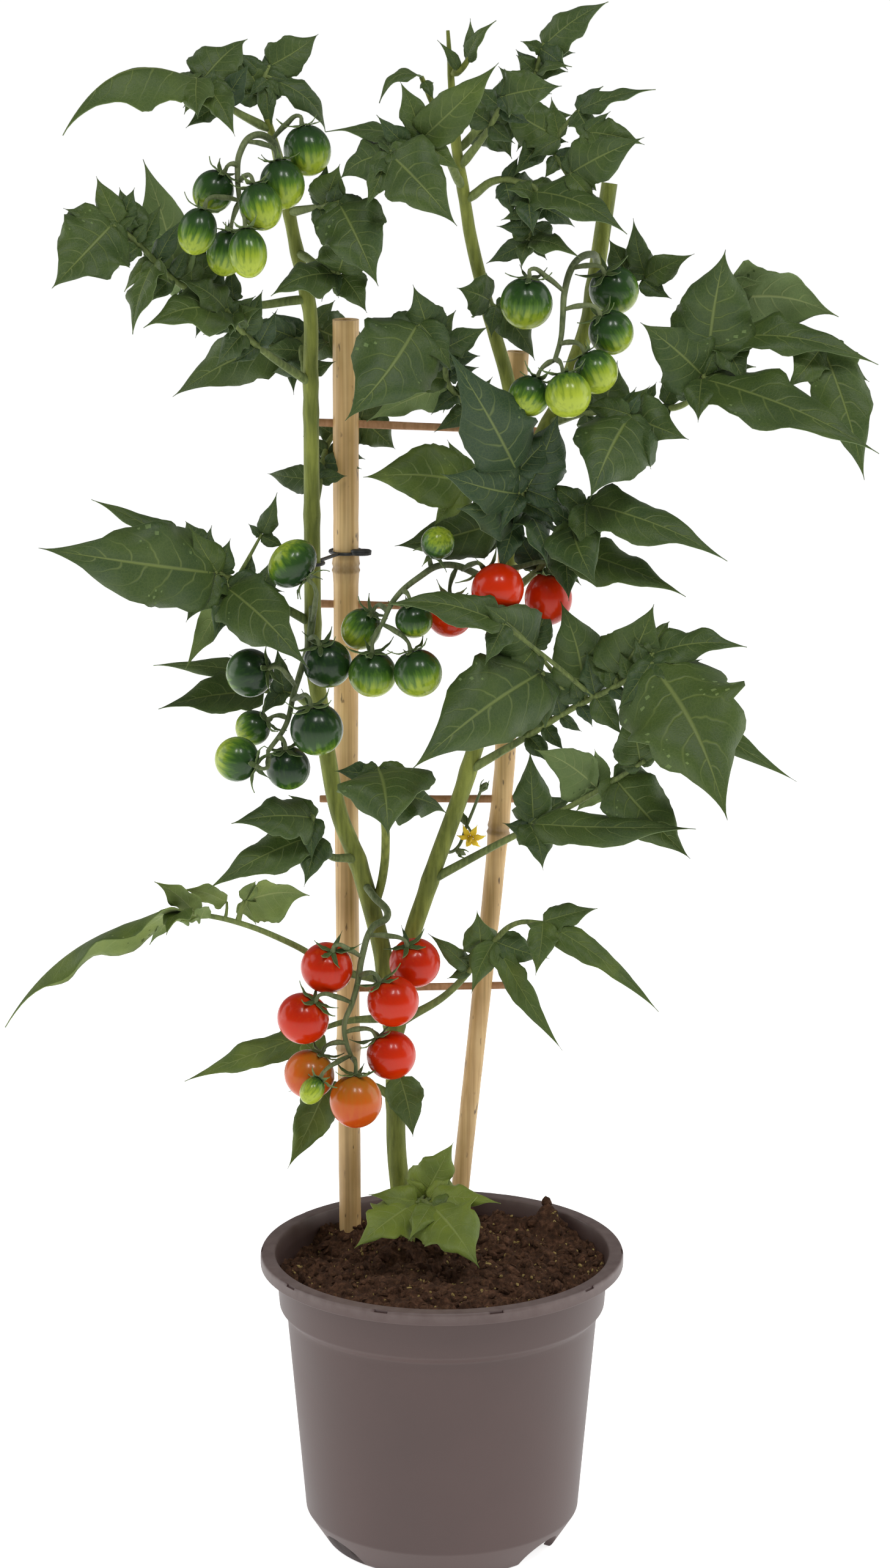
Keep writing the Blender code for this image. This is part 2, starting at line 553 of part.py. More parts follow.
def blade_solid(name, blade, root, collection):
    """A toothed blade with a folded midrib, and the little stalk back to its root on the rachis."""
    rows = blade_rows(blade)
    stalk = Vector(blade.foot) - root
    stalked = stalk.length > 4.0
    stalk.normalize()
    first = 0 if stalked else 1
    spans = rows + 2 - first
    bm = bmesh.new()
    bmesh.ops.create_grid(bm, x_segments=2, y_segments=spans, size=1.0)
    for vert in bm.verts:
        side = round(vert.co.x)
        row = round((vert.co.y + 1) / 2 * spans) + first - 1
        t = max(row, 0) / (rows + 1)
        place, normal = midrib_point(blade, t)
        ahead = midrib_point(blade, min(t + 0.05, 1.0))[0] - midrib_point(blade, max(t - 0.05, 0.0))[0]
        ahead.normalize()
        if row < 0:
            ahead = stalk
        elif row == 0:
            ahead = (ahead + stalk).normalized()
        across = ahead.cross(normal)
        if across.length < 0.5:
            across = ahead.cross(Vector(blade.tip) - Vector(blade.foot))
        across.normalize()
        if row == first - 1:
            side = (side or 1) if stalked else 0
            vert.co = (root + side * across * STALK_HALF_WIDTH) * MM
            continue
        if row == rows + 1:
            vert.co = place * MM
            continue
        lobe = (row + (side > 0)) % 2 == 0
        half = STALK_HALF_WIDTH
        if row > 0:
            half += 0.5 * blade.width * blade_half_width(t) * (LOBE_SHARE if lobe else NOTCH_SHARE)
        lift = math.sin(blade.fold) * half
        vert.co = (place + side * across * half * math.cos(blade.fold) + abs(side) * normal * lift) * MM
    bmesh.ops.remove_doubles(bm, verts=bm.verts, dist=1e-6)
    bmesh.ops.triangulate(bm, faces=bm.faces)
    made = from_bmesh(name, bm, collection)
    solid = made.modifiers.new("thickness", "SOLIDIFY")
    solid.thickness = BLADE_THICKNESS * MM
    solid.offset = 0.0
    return applied(made)


def nearest_on(line, point):
    """The point of a line of points that lies nearest to the given one."""
    best = None
    for low, high in zip(line, line[1:]):
        span = high - low
        t = min(max((point - low).dot(span) / span.length_squared, 0.0), 1.0)
        found = low + span * t
        if best is None or (found - point).length < (best - point).length:
            best = found
    return best


def fuse(name, pieces, collection, material, solver="EXACT"):
    """Joins overlapping solids into one body."""
    body, rest = pieces[0], pieces[1:]
    if rest:
        batch = new_collection("batch")
        for piece in rest:
            collection.objects.unlink(piece)
            batch.objects.link(piece)
        body = boolean(body, "UNION", batch, solver)
        for piece in rest:
            bpy.data.objects.remove(piece, do_unlink=True)
        bpy.data.collections.remove(batch)
    body.name = name
    body.data.name = name
    paint(body, material)
    return body


def leaf_pieces(plan, collection):
    """The rachis of a leaf, from the middle of its stem, and each of its blades."""
    start = on_stem(plan.stem, plan.height)
    line = [start] + [Vector(point) for point in plan.rachis]
    radii = [RACHIS_RADIUS * (1.25 - 0.5 * i / (len(line) - 1)) for i in range(len(line))]
    pieces = [tube("rachis", line, radii, collection, sides=4)]
    free_part = line[1:] if len(line) > 2 else line
    for blade in plan.blades:
        root = nearest_on(free_part, Vector(blade.foot))
        pieces.append(blade_solid("blade", blade, root, collection))
    return pieces


def leaf(name, plan, collection, material, clearance):
    body = fuse(name, leaf_pieces(plan, collection), collection, material, "MANIFOLD")
    return boolean(body, "DIFFERENCE", clearance, "MANIFOLD")


# --- Fruit ---------------------------------------------------------------------------------------
def fruit_ball(name, fruit, collection):
    bm = bmesh.new()
    bmesh.ops.create_icosphere(bm, subdivisions=2, radius=fruit.radius * MM)
    for vert in bm.verts:
        vert.co.z *= fruit.height
    made = from_bmesh(name, bm, collection)
    made.location = metres(fruit.centre)
    turn_to(made, fruit.axis)
    return made


def loft(bm, upper, lower):
    """Skin between two rings; one may have twice the other's corners, and a lone corner is a pole."""
    if len(lower) == 1:
        for i in range(len(upper)):
            bm.faces.new((upper[i], lower[0], upper[(i + 1) % len(upper)]))
        return
    count = min(len(upper), len(lower))
    for i in range(count):
        j = (i + 1) % count
        if len(upper) == len(lower):
            bm.faces.new((upper[i], lower[i], lower[j], upper[j]))
            continue
        few, many = (upper, lower) if len(upper) < len(lower) else (lower, upper)
        bm.faces.new((few[i], many[2 * i], many[2 * i + 1]))
        bm.faces.new((few[i], many[2 * i + 1], few[j]))
        bm.faces.new((few[j], many[2 * i + 1], many[2 * j]))


def hanging_fruit(fruit, root, collection):
    """The fruit's own stalk, widening into the five-pointed calyx, and the fruit if it is unripe."""
    axis = Vector(fruit.axis).normalized()
    top = Vector(fruit.centre) + axis * fruit.radius * fruit.height
    bend = top + axis * 4.0
    inwards = (root - bend).normalized()
    tip = 0.5 * fruit.radius + 1.4
    star = [tip, 0.3 * tip] * 5
    sections = [
        (root, inwards, [PEDICEL_RADIUS] * 5),
        (bend, (inwards + axis).normalized(), [PEDICEL_RADIUS * 1.1] * 5),
        (top + axis * (CALYX_GAP + CALYX_THICKNESS + 0.4), axis, [PEDICEL_RADIUS] * 5),
        (top + axis * (CALYX_GAP + CALYX_THICKNESS), axis, star),
        (top + axis * CALYX_GAP, axis, star),
    ]
    if not fruit.ripe:
        sections.append((top, axis, [PEDICEL_RADIUS] * 5))
        for angle in FRUIT_RINGS:
            height = fruit.radius * fruit.height * (math.cos(math.radians(angle)) - 1)
            radius = fruit.radius * math.sin(math.radians(angle))
            sections.append((top + axis * height, axis, [radius] * 10 if angle < 180 else [0]))
    bm = bmesh.new()
    rings = []
    side = top - root  # the sepals part where the stalk comes in
    for centre, along, radii in reversed(sections):
        side = (side - along * side.dot(along)).normalized()
        other = along.cross(side)
        turns = [2 * math.pi * i / len(radii) for i in range(len(radii))]
        rings.append([bm.verts.new((centre + (side * math.cos(a) + other * math.sin(a)) * r) * MM)
                      for a, r in zip(turns, radii)])
    rings.reverse()
    for upper, lower in zip(rings, rings[1:]):
        loft(bm, upper, lower)
    bm.faces.new(rings[0])
    if fruit.ripe:
        bm.faces.new(rings[-1])
    bmesh.ops.recalc_face_normals(bm, faces=bm.faces)
    bmesh.ops.triangulate(bm, faces=bm.faces)
    return from_bmesh("hanging_fruit", bm, collection)


def truss(name, plan, collection, material, clearance, ripe_materials):
    """A stalk with its pedicels, calyces and unripe fruit in one body; ripe fruit are made apart."""
    start = on_stem(plan.stem, plan.height)
    line = [start] + [Vector(point) for point in plan.stalk]
    radii = [STALK_RADIUS * (1.2 - 0.4 * i / (len(line) - 1)) for i in range(len(line))]
    pieces = [tube("stalk", line, radii, collection)]
    for fruit in plan.fruits:
        top = Vector(fruit.centre) + Vector(fruit.axis).normalized() * (fruit.radius * fruit.height + 4)
        pieces.append(hanging_fruit(fruit, nearest_on(line[1:], top), collection))
        if fruit.ripe:
            ripe = fruit_ball(fruit.ripe, fruit, collection)
            paint(ripe, ripe_materials(fruit.ripe))
            shade(ripe)
    body = fuse(name, pieces, collection, material, "MANIFOLD")
    return boolean(body, "DIFFERENCE", clearance, "MANIFOLD")


# --- Pot, soil and ladder ------------------------------------------------------------------------
def pot_wall_inside(height):
    """Inner radius of the pot's wall at a height, in millimetres."""
    line = [(BODY_FOOT[0] - WALL - 1, FLOOR_HEIGHT + WALL)]
    line += [(radius - WALL, z) for radius, z in (BODY_TOP, BAND_FOOT)]
    line.append((RIM_INNER_RADIUS, POT_HEIGHT))
    for (r0, z0), (r1, z1) in zip(line, line[1:]):
        if height <= z1:
            return r0 + (r1 - r0) * (height - z0) / (z1 - z0)
    return RIM_INNER_RADIUS


def pot(collection, cutters, material):
    rim_drop = POT_HEIGHT - RIM_DEPTH
    floor_top = FLOOR_HEIGHT + WALL
    profile = [
        (0, floor_top),
        (pot_wall_inside(floor_top), floor_top),
        (pot_wall_inside(BODY_TOP[1]), BODY_TOP[1]),
        (pot_wall_inside(BAND_FOOT[1]), BAND_FOOT[1]),
        (RIM_INNER_RADIUS, POT_HEIGHT),
        (RIM_RADIUS - 1.5, POT_HEIGHT),
        (RIM_RADIUS, POT_HEIGHT - 1.5),
        (RIM_RADIUS, rim_drop),
        (RIM_RADIUS - WALL, rim_drop),
        (RIM_RADIUS - WALL - 0.4, POT_HEIGHT - WALL - 0.6),
        (RIM_INNER_RADIUS + WALL, POT_HEIGHT - WALL - 0.6),
        BAND_TOP,
        BAND_FOOT,
        BODY_TOP,
        BODY_FOOT,
        (FOOT_RADIUS + 1.5, 1.2),
        (FOOT_RADIUS, 0),
        (FOOT_RADIUS - FOOT_RING, 0),
        (FOOT_RADIUS + 5.5, FLOOR_HEIGHT),
        (0, FLOOR_HEIGHT),
    ]
    body = turned("pot", profile, collection, POT_SEGMENTS)
    for angle in NOTCH_ANGLES:
        turn = math.radians(angle)
        outwards = Vector((math.sin(turn), -math.cos(turn), 0))
        bm = bmesh.new()
        bmesh.ops.create_cone(bm, cap_ends=True, segments=12, radius1=NOTCH_HEIGHT * MM,
                              radius2=NOTCH_HEIGHT * MM, depth=30 * MM)
        for vert in bm.verts:
            vert.co.y *= NOTCH_WIDTH / NOTCH_HEIGHT / 2
        cutter = from_bmesh("notch_cutter", bm, cutters)
        cutter.display_type = "WIRE"
        cutter.location = outwards * (FOOT_RADIUS + 10) * MM
        cutter.rotation_euler = (0, math.radians(90), turn - math.radians(90))
        body = boolean(body, "DIFFERENCE", cutter, "MANIFOLD")
        bpy.data.objects.remove(cutter, do_unlink=True)
    paint(body, material)
    shade(body)
    return body


def soil_height(x, y):
    """Height of the soil's surface in millimetres: level, mounds and an uneven grain of lumps."""
    level = SOIL_LEVEL + 0.025 * x
    for mound_x, mound_y, height, spread in MOUNDS:
        away = ((x - mound_x) ** 2 + (y - mound_y) ** 2) / spread ** 2
        level += height * math.exp(-away)
    for across, deep, phase, height in LUMPS:
        level += height * math.sin(across * x + deep * y + phase)
    return level


def soil(collection, cutters):
    edge = pot_wall_inside(SOIL_LEVEL) - 0.6
    rings = [edge * i / SOIL_RINGS for i in range(SOIL_RINGS + 1)]
    wall = [(pot_wall_inside(z) - 0.6, z) for z in (BAND_FOOT[1], BODY_TOP[1], BODY_FOOT[1] + 2)]
    base = FLOOR_HEIGHT + WALL + 0.35
    profile = [(r, SOIL_LEVEL) for r in rings] + wall + [(wall[-1][0] - 2.0, base), (0, base)]
    body = turned("soil", profile, collection, POT_SEGMENTS)
    for vert in body.data.vertices:
        if vert.co.z > (SOIL_LEVEL - 1) * MM:
            vert.co.z = soil_height(vert.co.x / MM, vert.co.y / MM) * MM
            if vert.co.xy.length > (edge - 1) * MM:
                vert.co.xy *= (pot_wall_inside(vert.co.z / MM) - 0.6) * MM / vert.co.xy.length
    holes = [
        tube("hole", [(x, y, z - 2) for x, y, z in CANE_LEFT[:1]] + list(CANE_LEFT[1:]),
             [r + 0.35 for r in CANE_LEFT_RADII], cutters, sides=8),
        tube("hole", [(x, y, z - 2) for x, y, z in CANE_RIGHT[:1]] + list(CANE_RIGHT[1:]),
             [r + 0.35 for r in CANE_RIGHT_RADII], cutters, sides=8),
    ]
    for hole in holes:
        body = boolean(body, "DIFFERENCE", hole, "MANIFOLD")
        bpy.data.objects.remove(hole, do_unlink=True)
    return body


def cane(name, points, radii, node_heights, collection, cutters, material):
    """A bamboo cane with a swollen ring at each node, drilled for the rungs."""
    line = list(zip([Vector(p) for p in points], radii))
    for height in node_heights:
        for low, high in zip(line, line[1:]):
            if low[0].z < height < high[0].z:
                t = (height - low[0].z) / (high[0].z - low[0].z)
                middle = low[0].lerp(high[0], t)
                radius = low[1] + (high[1] - low[1]) * t
                along = (high[0] - low[0]).normalized()
                at = line.index(low) + 1
                ring = [(-5, 0.0), (-1.5, NODE_SWELLING), (1.5, NODE_SWELLING * 0.7), (6, 0.0)]
                line[at:at] = [(middle + along * step, radius + swell) for step, swell in ring]
                break
    body = tube(name, [p for p, r in line], [r for p, r in line], collection, sides=8)
    for ends in RUNGS.values():
        cutter = tube("drill", ends, [RUNG_RADIUS + 0.35] * 2, cutters, sides=6)
        body = boolean(body, "DIFFERENCE", cutter, "MANIFOLD")
        bpy.data.objects.remove(cutter, do_unlink=True)
    body.name = name
    paint(body, material)
    shade(body)
    return body


def tie(collection, material):
    """A black plant clip: a ring about the cane, one about the left leader and the strap between."""
    stem_centre = on_stem("left", TIE_HEIGHT)
    low, high = Vector(CANE_LEFT[2]), Vector(CANE_LEFT[3])
    cane_centre = low.lerp(high, (TIE_HEIGHT - low.z) / (high.z - low.z))
    pieces = []
    for centre, radius in ((cane_centre, 8.4), (stem_centre, 6.0)):
        bpy.ops.mesh.primitive_torus_add(major_segments=14, minor_segments=4, major_radius=radius * MM,
                                         minor_radius=TIE_WIRE * MM, location=centre * MM)
        loop = bpy.context.object
        for home in list(loop.users_collection):
            home.objects.unlink(loop)
        collection.objects.link(loop)
        pieces.append(loop)
    along = (stem_centre - cane_centre).normalized()
    strap = [cane_centre + along * 8.6, stem_centre - along * 6.2]
    pieces.append(tube("strap", strap, [0.9, 0.9], collection, sides=4))
    head = [Vector((-47, 45.6, TIE_HEIGHT + 0.5)), Vector((-36, 45.6, TIE_HEIGHT + 1.5))]
    pieces.append(tube("head", head, [1.6, 1.6], collection, sides=6))
    body = fuse("plant_tie", pieces, collection, material, "MANIFOLD")
    shade(body)
    return body


def flowers(collection, green, yellow, clearance):
    bloom_place, bloom_faces = BLOOM
    behind_bloom = Vector(bloom_place) - Vector(bloom_faces).normalized() * 0.5
    pieces = [
        tube("stalk", FLOWER_STALK, [1.0] * 4, collection),
        tube("bloom_stalk", [FLOWER_STALK[2], behind_bloom], [0.8] * 2, collection, sides=4),
    ]
    for (place, direction) in BUDS:
        bm = bmesh.new()
        bmesh.ops.create_cone(bm, cap_ends=True, segments=6, radius1=1.8 * MM, radius2=0.5 * MM, depth=7 * MM)
        bud = from_bmesh("bud", bm, collection)
        bud.location = metres(Vector(place) + Vector(direction).normalized() * 2.5)
        turn_to(bud, direction)
        pieces.append(bud)
    body = fuse("flower_truss", pieces, collection, green, "MANIFOLD")
    body = boolean(body, "DIFFERENCE", clearance, "MANIFOLD")
    bm = bmesh.new()
    bmesh.ops.create_circle(bm, cap_ends=True, cap_tris=True, segments=10, radius=1.0)
    for vert in bm.verts:
        if vert.co.length < 0.5:
            continue
        petal = round(math.degrees(math.atan2(vert.co.y, vert.co.x)) / 36) % 2 == 0
        out = 7.5 if petal else 2.4
        vert.co = Vector((vert.co.x * out, vert.co.y * out, -1.6 if petal else 0.0)) * MM
    bloom = from_bmesh("bloom", bm, collection, yellow)
    solid = bloom.modifiers.new("thickness", "SOLIDIFY")
    solid.thickness = 0.8 * MM
    solid.offset = 1.0
    bloom.location = metres(bloom_place)
    turn_to(bloom, bloom_faces)
    return body


def main():
    clear_scene()
    plant = new_collection(OBJECT_NAME)
    cutters = new_collection("cutters", hidden=True)

    pot_taupe = finish("pot_taupe_plastic", (0.16, 0.12, 0.11), 0.55)
    soil_brown = finish("potting_soil", (0.028, 0.015, 0.010), 0.95)
    bamboo = finish("bamboo", (0.68, 0.50, 0.26), 0.5)
    rung_wood = finish("rung_wood", (0.55, 0.32, 0.15), 0.6)
    tie_black = finish("tie_plastic", (0.02, 0.02, 0.02), 0.4)
    stem_green = finish("stem_green", (0.11, 0.22, 0.06), 0.55)
    leaf_green = finish("leaf_green", (0.04, 0.09, 0.025), 0.6)
    truss_green = finish("unripe_green", (0.10, 0.22, 0.03), 0.35)
    fruit_red = finish("ripe_red", (0.68, 0.035, 0.01), 0.2)
    fruit_orange = finish("ripe_orange", (0.70, 0.14, 0.015), 0.2)
    petal_yellow = finish("petal_yellow", (0.85, 0.62, 0.03), 0.6)

    pot(plant, cutters, pot_taupe)
    ground = soil(plant, cutters)
    cane("cane_left", CANE_LEFT, CANE_LEFT_RADII, CANE_LEFT_NODES, plant, cutters, bamboo)
    cane("cane_right", CANE_RIGHT, CANE_RIGHT_RADII, CANE_RIGHT_NODES, plant, cutters, bamboo)
    for name, ends in RUNGS.items():
        rung = tube(name, ends, [RUNG_RADIUS] * 2, plant, sides=6)
        paint(rung, rung_wood)
        shade(rung)

    clearance = new_collection("clearance", hidden=True)
    stem_tubes(clearance, 0.35)
    ground = boolean(ground, "DIFFERENCE", clearance, "MANIFOLD")
    paint(ground, soil_brown)
    shade(ground)
    growth = stem_tubes(plant, 0.0)
    for name in SHOOTS:
        growth += leaf_pieces(LEAVES[name], plant)
    stem = fuse("stem", growth, plant, stem_green, "MANIFOLD")
    shade(stem)
    tie(plant, tie_black)

    for name, plan in LEAVES.items():
        if name not in SHOOTS:
            leaf(name, plan, plant, leaf_green, clearance)

    def ripe_material(name):
        return fruit_orange if name in ("tomato_low_3", "tomato_low_4") else fruit_red

    for name, plan in TRUSSES.items():
        truss(name, plan, plant, truss_green, clearance, ripe_material)
    flowers(plant, stem_green, petal_yellow, clearance)

    for cutter in list(clearance.objects):
        bpy.data.objects.remove(cutter, do_unlink=True)


main()
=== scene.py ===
# %% [markdown]
# # A patio tomato plant in a nursery pot
#
# The plant is built over a frame of plain solids that already stand in the right places. Each cell
# below explains one part of the real thing, how it could be made in Blender, and why one way was
# chosen. Lengths are written in millimetres, because leaves and fruit are easy to think of that way,
# and are turned to metres in one place only.

# %% Load the frame
import math
from collections import namedtuple

import bmesh
import bpy
import numpy as np
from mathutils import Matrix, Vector


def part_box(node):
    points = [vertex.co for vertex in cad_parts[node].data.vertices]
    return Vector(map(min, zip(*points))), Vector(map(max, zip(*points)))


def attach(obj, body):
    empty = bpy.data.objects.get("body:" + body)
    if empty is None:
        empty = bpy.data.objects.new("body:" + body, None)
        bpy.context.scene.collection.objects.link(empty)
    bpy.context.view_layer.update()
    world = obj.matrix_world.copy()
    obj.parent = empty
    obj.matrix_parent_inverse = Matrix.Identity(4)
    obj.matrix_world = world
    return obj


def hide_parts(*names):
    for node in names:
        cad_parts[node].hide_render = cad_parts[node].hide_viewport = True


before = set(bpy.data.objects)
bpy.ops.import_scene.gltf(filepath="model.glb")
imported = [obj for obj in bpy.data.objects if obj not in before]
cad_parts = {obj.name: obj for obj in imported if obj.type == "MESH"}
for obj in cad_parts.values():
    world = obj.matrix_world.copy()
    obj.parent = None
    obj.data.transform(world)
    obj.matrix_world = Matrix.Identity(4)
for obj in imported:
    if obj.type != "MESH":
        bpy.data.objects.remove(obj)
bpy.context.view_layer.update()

MM = 0.001

# %% [markdown]
# ## Camera
# The eye is some twenty centimetres above the top of the plant and a little over two metres away, so
# it looks down into the pot. A tilt of fourteen degrees shows a narrow ellipse of soil. The view is
# tall, so the sensor is fitted to the height of the picture.

# %% Camera
CAMERA_PLACE = (0.0016, -2.267, 0.979)
CAMERA_TILT = 14.1
CAMERA_SENSOR = 36.0
CAMERA_LENS = 105.12

scene = bpy.context.scene
camera = bpy.data.objects.new("camera", bpy.data.cameras.new("camera"))
scene.collection.objects.link(camera)
camera.location = CAMERA_PLACE
camera.rotation_euler = (math.radians(90 - CAMERA_TILT), 0, 0)
camera.data.sensor_fit = "VERTICAL"
camera.data.sensor_height = CAMERA_SENSOR
camera.data.lens = CAMERA_LENS
scene.camera = camera
print("camera at", CAMERA_PLACE)

# %% [markdown]
# ## Colours and nodes
# A colour is given as an sRGB hex value, while shaders work in linear light, so one function
# turns the first into the second. A second function adds a shader or geometry node, sets it and
# links it, and every tree in this lesson is built with it. A noise texture's scale is a number of
# grains per metre here, so a scale of 1000 makes them a millimetre wide.

# %% Colour and node helpers
def linear(hex_colour):
    """Linear RGBA from an sRGB hex value."""
    parts = [int(hex_colour[i:i + 2], 16) / 255 for i in (1, 3, 5)]
    return (*[c / 12.92 if c <= 0.04045 else ((c + 0.055) / 1.055) ** 2.4 for c in parts], 1.0)


def add(tree, kind, inputs=None, stops=None, **settings):
    """A new node with its settings, its inputs set or linked, and the stops of its colour ramp."""
    made = tree.nodes.new(kind)
    for name, value in settings.items():
        setattr(made, name, value)
    for socket, value in (inputs or {}).items():
        if isinstance(value, bpy.types.NodeSocket):
            tree.links.new(value, made.inputs[socket])
        else:
            made.inputs[socket].default_value = value
    if stops:
        ramp = made.color_ramp.elements
        while len(ramp) < len(stops):
            ramp.new(1.0)
        for element, (place, colour) in zip(ramp, stops):
            element.position = place
            element.color = linear(colour)
    return made


def new_finish(name, **even):
    """A Principled material; `even` holds the numbers that are the same all over it."""
    made = bpy.data.materials.new(name)
    made.use_nodes = True
    shader = made.node_tree.nodes["Principled BSDF"]
    for socket, value in even.items():
        shader.inputs[socket.replace("_", " ")].default_value = value
    return made, made.node_tree, shader


print("a mid grey in linear light:", round(linear("#808080")[0], 3))

# %% [markdown]
# ## Leaf tissue
# A tomato leaf is dull and downy above, with a pale midrib and about seven pairs of side veins
# that curve towards the margin. Between them runs a fine net of smaller veins, and the surface
# bulges in each mesh of the net. Below, the leaf is paler and greyer and its veins stand proud.
#
# Veins follow the leaf, so the material can't take them from the place in the room. Each blade
# stores an attribute, `grain`: across the blade from -1 to 1, and along it from 0 to 1. The
# midrib is where the first number is near 0, and the side veins are evenly spaced lines of a sum
# of both. A second attribute, `tone`, shifts a whole leaflet from blue-green to yellow-green.

# %% Leaf veins
SIDE_VEINS = 7
VEIN_SLANT = 0.22
VEIN_CURVE = 1.5  # above 1, a side vein turns towards the tip as it nears the margin
VEIN_STAGGER = 0.22  # the two halves' veins leave the midrib in turns, not in pairs
VEIN_WANDER_SCALE = 110.0  # a side vein strays a little, anew every 9 mm
NET_CELLS_PER_METRE = 520  # a mesh of the fine net is about 2 mm wide


def leaf_veins(tree):
    """Sockets for the vein pattern, 0 to 1, and for the blade's tone."""
    place = add(tree, "ShaderNodeTexCoord").outputs["Object"]
    grain = add(tree, "ShaderNodeAttribute", attribute_name="grain").outputs["Vector"]
    tone = add(tree, "ShaderNodeAttribute", attribute_name="tone").outputs["Fac"]
    parts = add(tree, "ShaderNodeSeparateXYZ", {0: grain})
    side = add(tree, "ShaderNodeMath", {0: parts.outputs["X"]}, operation="ABSOLUTE").outputs[0]
    midrib = add(tree, "ShaderNodeMapRange", {0: side, 1: 0.012, 2: 0.06, 3: 1.0, 4: 0.0},
                 interpolation_type="SMOOTHSTEP").outputs[0]
    curve = add(tree, "ShaderNodeMath", {0: side, 1: VEIN_CURVE}, operation="POWER").outputs[0]
    slant = add(tree, "ShaderNodeMath", {0: curve, 1: -VEIN_SLANT}, operation="MULTIPLY").outputs[0]
    course = add(tree, "ShaderNodeMath", {0: parts.outputs["Y"], 1: slant}, operation="ADD").outputs[0]
    half = add(tree, "ShaderNodeMath", {0: parts.outputs["X"]}, operation="SIGN").outputs[0]
    half = add(tree, "ShaderNodeMath", {0: half, 1: VEIN_STAGGER}, operation="MULTIPLY").outputs[0]
    count = add(tree, "ShaderNodeMath", {0: course, 1: float(SIDE_VEINS), 2: half}, operation="MULTIPLY_ADD")
    wander = add(tree, "ShaderNodeTexNoise", {
        "Vector": place, "Scale": VEIN_WANDER_SCALE, "Detail": 1.0}).outputs["Fac"]
    count = add(tree, "ShaderNodeMath", {0: wander, 1: 0.5, 2: count.outputs[0]}, operation="MULTIPLY_ADD")
    near = add(tree, "ShaderNodeMath", {0: count.outputs[0], 1: 0.5}, operation="PINGPONG").outputs[0]
    lateral = add(tree, "ShaderNodeMapRange", {0: near, 1: 0.0, 2: 0.085, 3: 0.7, 4: 0.0},
                  interpolation_type="SMOOTHSTEP").outputs[0]
    fade = add(tree, "ShaderNodeMapRange", {0: side, 1: 0.2, 2: 0.95, 3: 1.0, 4: 0.1}).outputs[0]
    lateral = add(tree, "ShaderNodeMath", {0: lateral, 1: fade}, operation="MULTIPLY").outputs[0]
    net = add(tree, "ShaderNodeTexVoronoi", {"Vector": place, "Scale": NET_CELLS_PER_METRE},
              feature="DISTANCE_TO_EDGE").outputs["Distance"]
    net = add(tree, "ShaderNodeMapRange", {0: net, 1: 0.02, 2: 0.14, 3: 0.13, 4: 0.0}).outputs[0]
    veins = add(tree, "ShaderNodeMath", {0: midrib, 1: lateral}, operation="MAXIMUM").outputs[0]
    veins = add(tree, "ShaderNodeMath", {0: veins, 1: net}, operation="MAXIMUM").outputs[0]
    return veins, tone, place


print("side veins on each half of a blade:", SIDE_VEINS)

# %% Leaf materials
LEAF_CLOUD_SCALE = 60.0  # patches of 17 mm
DOWN_SCALE = 1400.0  # hairs 0.7 mm apart, coarser than real ones, which wouldn't show


def leaf_finish(name, stops, vein_colour, vein_share, relief, **even):
    made, tree, shader = new_finish(name, **even)
    veins, tone, place = leaf_veins(tree)
    cloud = add(tree, "ShaderNodeTexNoise", {
        "Vector": place, "Scale": LEAF_CLOUD_SCALE, "Detail": 4.0}).outputs["Fac"]
    cloud = add(tree, "ShaderNodeMapRange", {0: cloud, 1: 0.3, 2: 0.7, 3: -0.14, 4: 0.14}).outputs[0]
    shift = add(tree, "ShaderNodeMath", {0: tone, 1: cloud}, operation="ADD").outputs[0]
    tissue = add(tree, "ShaderNodeValToRGB", {0: shift}, stops=stops).outputs["Color"]
    share = add(tree, "ShaderNodeMath", {0: veins, 1: vein_share}, operation="MULTIPLY").outputs[0]
    colour = add(tree, "ShaderNodeMix", {0: share, 6: tissue, 7: linear(vein_colour)},
                 data_type="RGBA").outputs[2]
    tree.links.new(colour, shader.inputs["Base Color"])
    down = add(tree, "ShaderNodeTexNoise", {
        "Vector": place, "Scale": DOWN_SCALE, "Detail": 2.0}).outputs["Fac"]
    down = add(tree, "ShaderNodeMath", {0: down, 1: 0.35}, operation="MULTIPLY").outputs[0]
    height = add(tree, "ShaderNodeMath", {0: veins, 1: relief, 2: down}, operation="MULTIPLY_ADD").outputs[0]
    bump = add(tree, "ShaderNodeBump", {"Strength": 0.55, "Distance": 0.0006, "Height": height})
    tree.links.new(bump.outputs[0], shader.inputs["Normal"])
    return made


LEAF_UPPER = leaf_finish(
    "leaf_upper_side",
    [(0.0, "#263d1f"), (0.3, "#364a1b"), (0.6, "#43561c"), (1.0, "#6a7a26")],
    "#8d9a52", 0.42, -1.0, Roughness=0.5, Specular_IOR_Level=0.35, Sheen_Weight=0.05, Sheen_Roughness=0.5)
LEAF_UNDER = leaf_finish(
    "leaf_underside",
    [(0.0, "#566a3e"), (0.4, "#637744"), (1.0, "#849345")],
    "#a1ab6c", 0.5, 1.0, Roughness=0.65, Specular_IOR_Level=0.28, Sheen_Weight=0.08, Sheen_Roughness=0.5)
print("leaf materials:", LEAF_UPPER.name, LEAF_UNDER.name)

# %% [markdown]
# ## Stem tissue
# Stems and leaf stalks are thick, juicy and covered with short pale hairs, so they look lighter
# than the leaves and never shiny. Length-wise streaks come from noise that is stretched upwards.

# %% Stem materials
STREAK_STRETCH = 0.12  # streaks are about eight times as long as they are wide
STEM_CLOUD_SCALE = 28.0  # patches of 36 mm
HAIR_SCALE = 1100.0  # hairs 0.9 mm apart, coarser than real ones, which wouldn't show


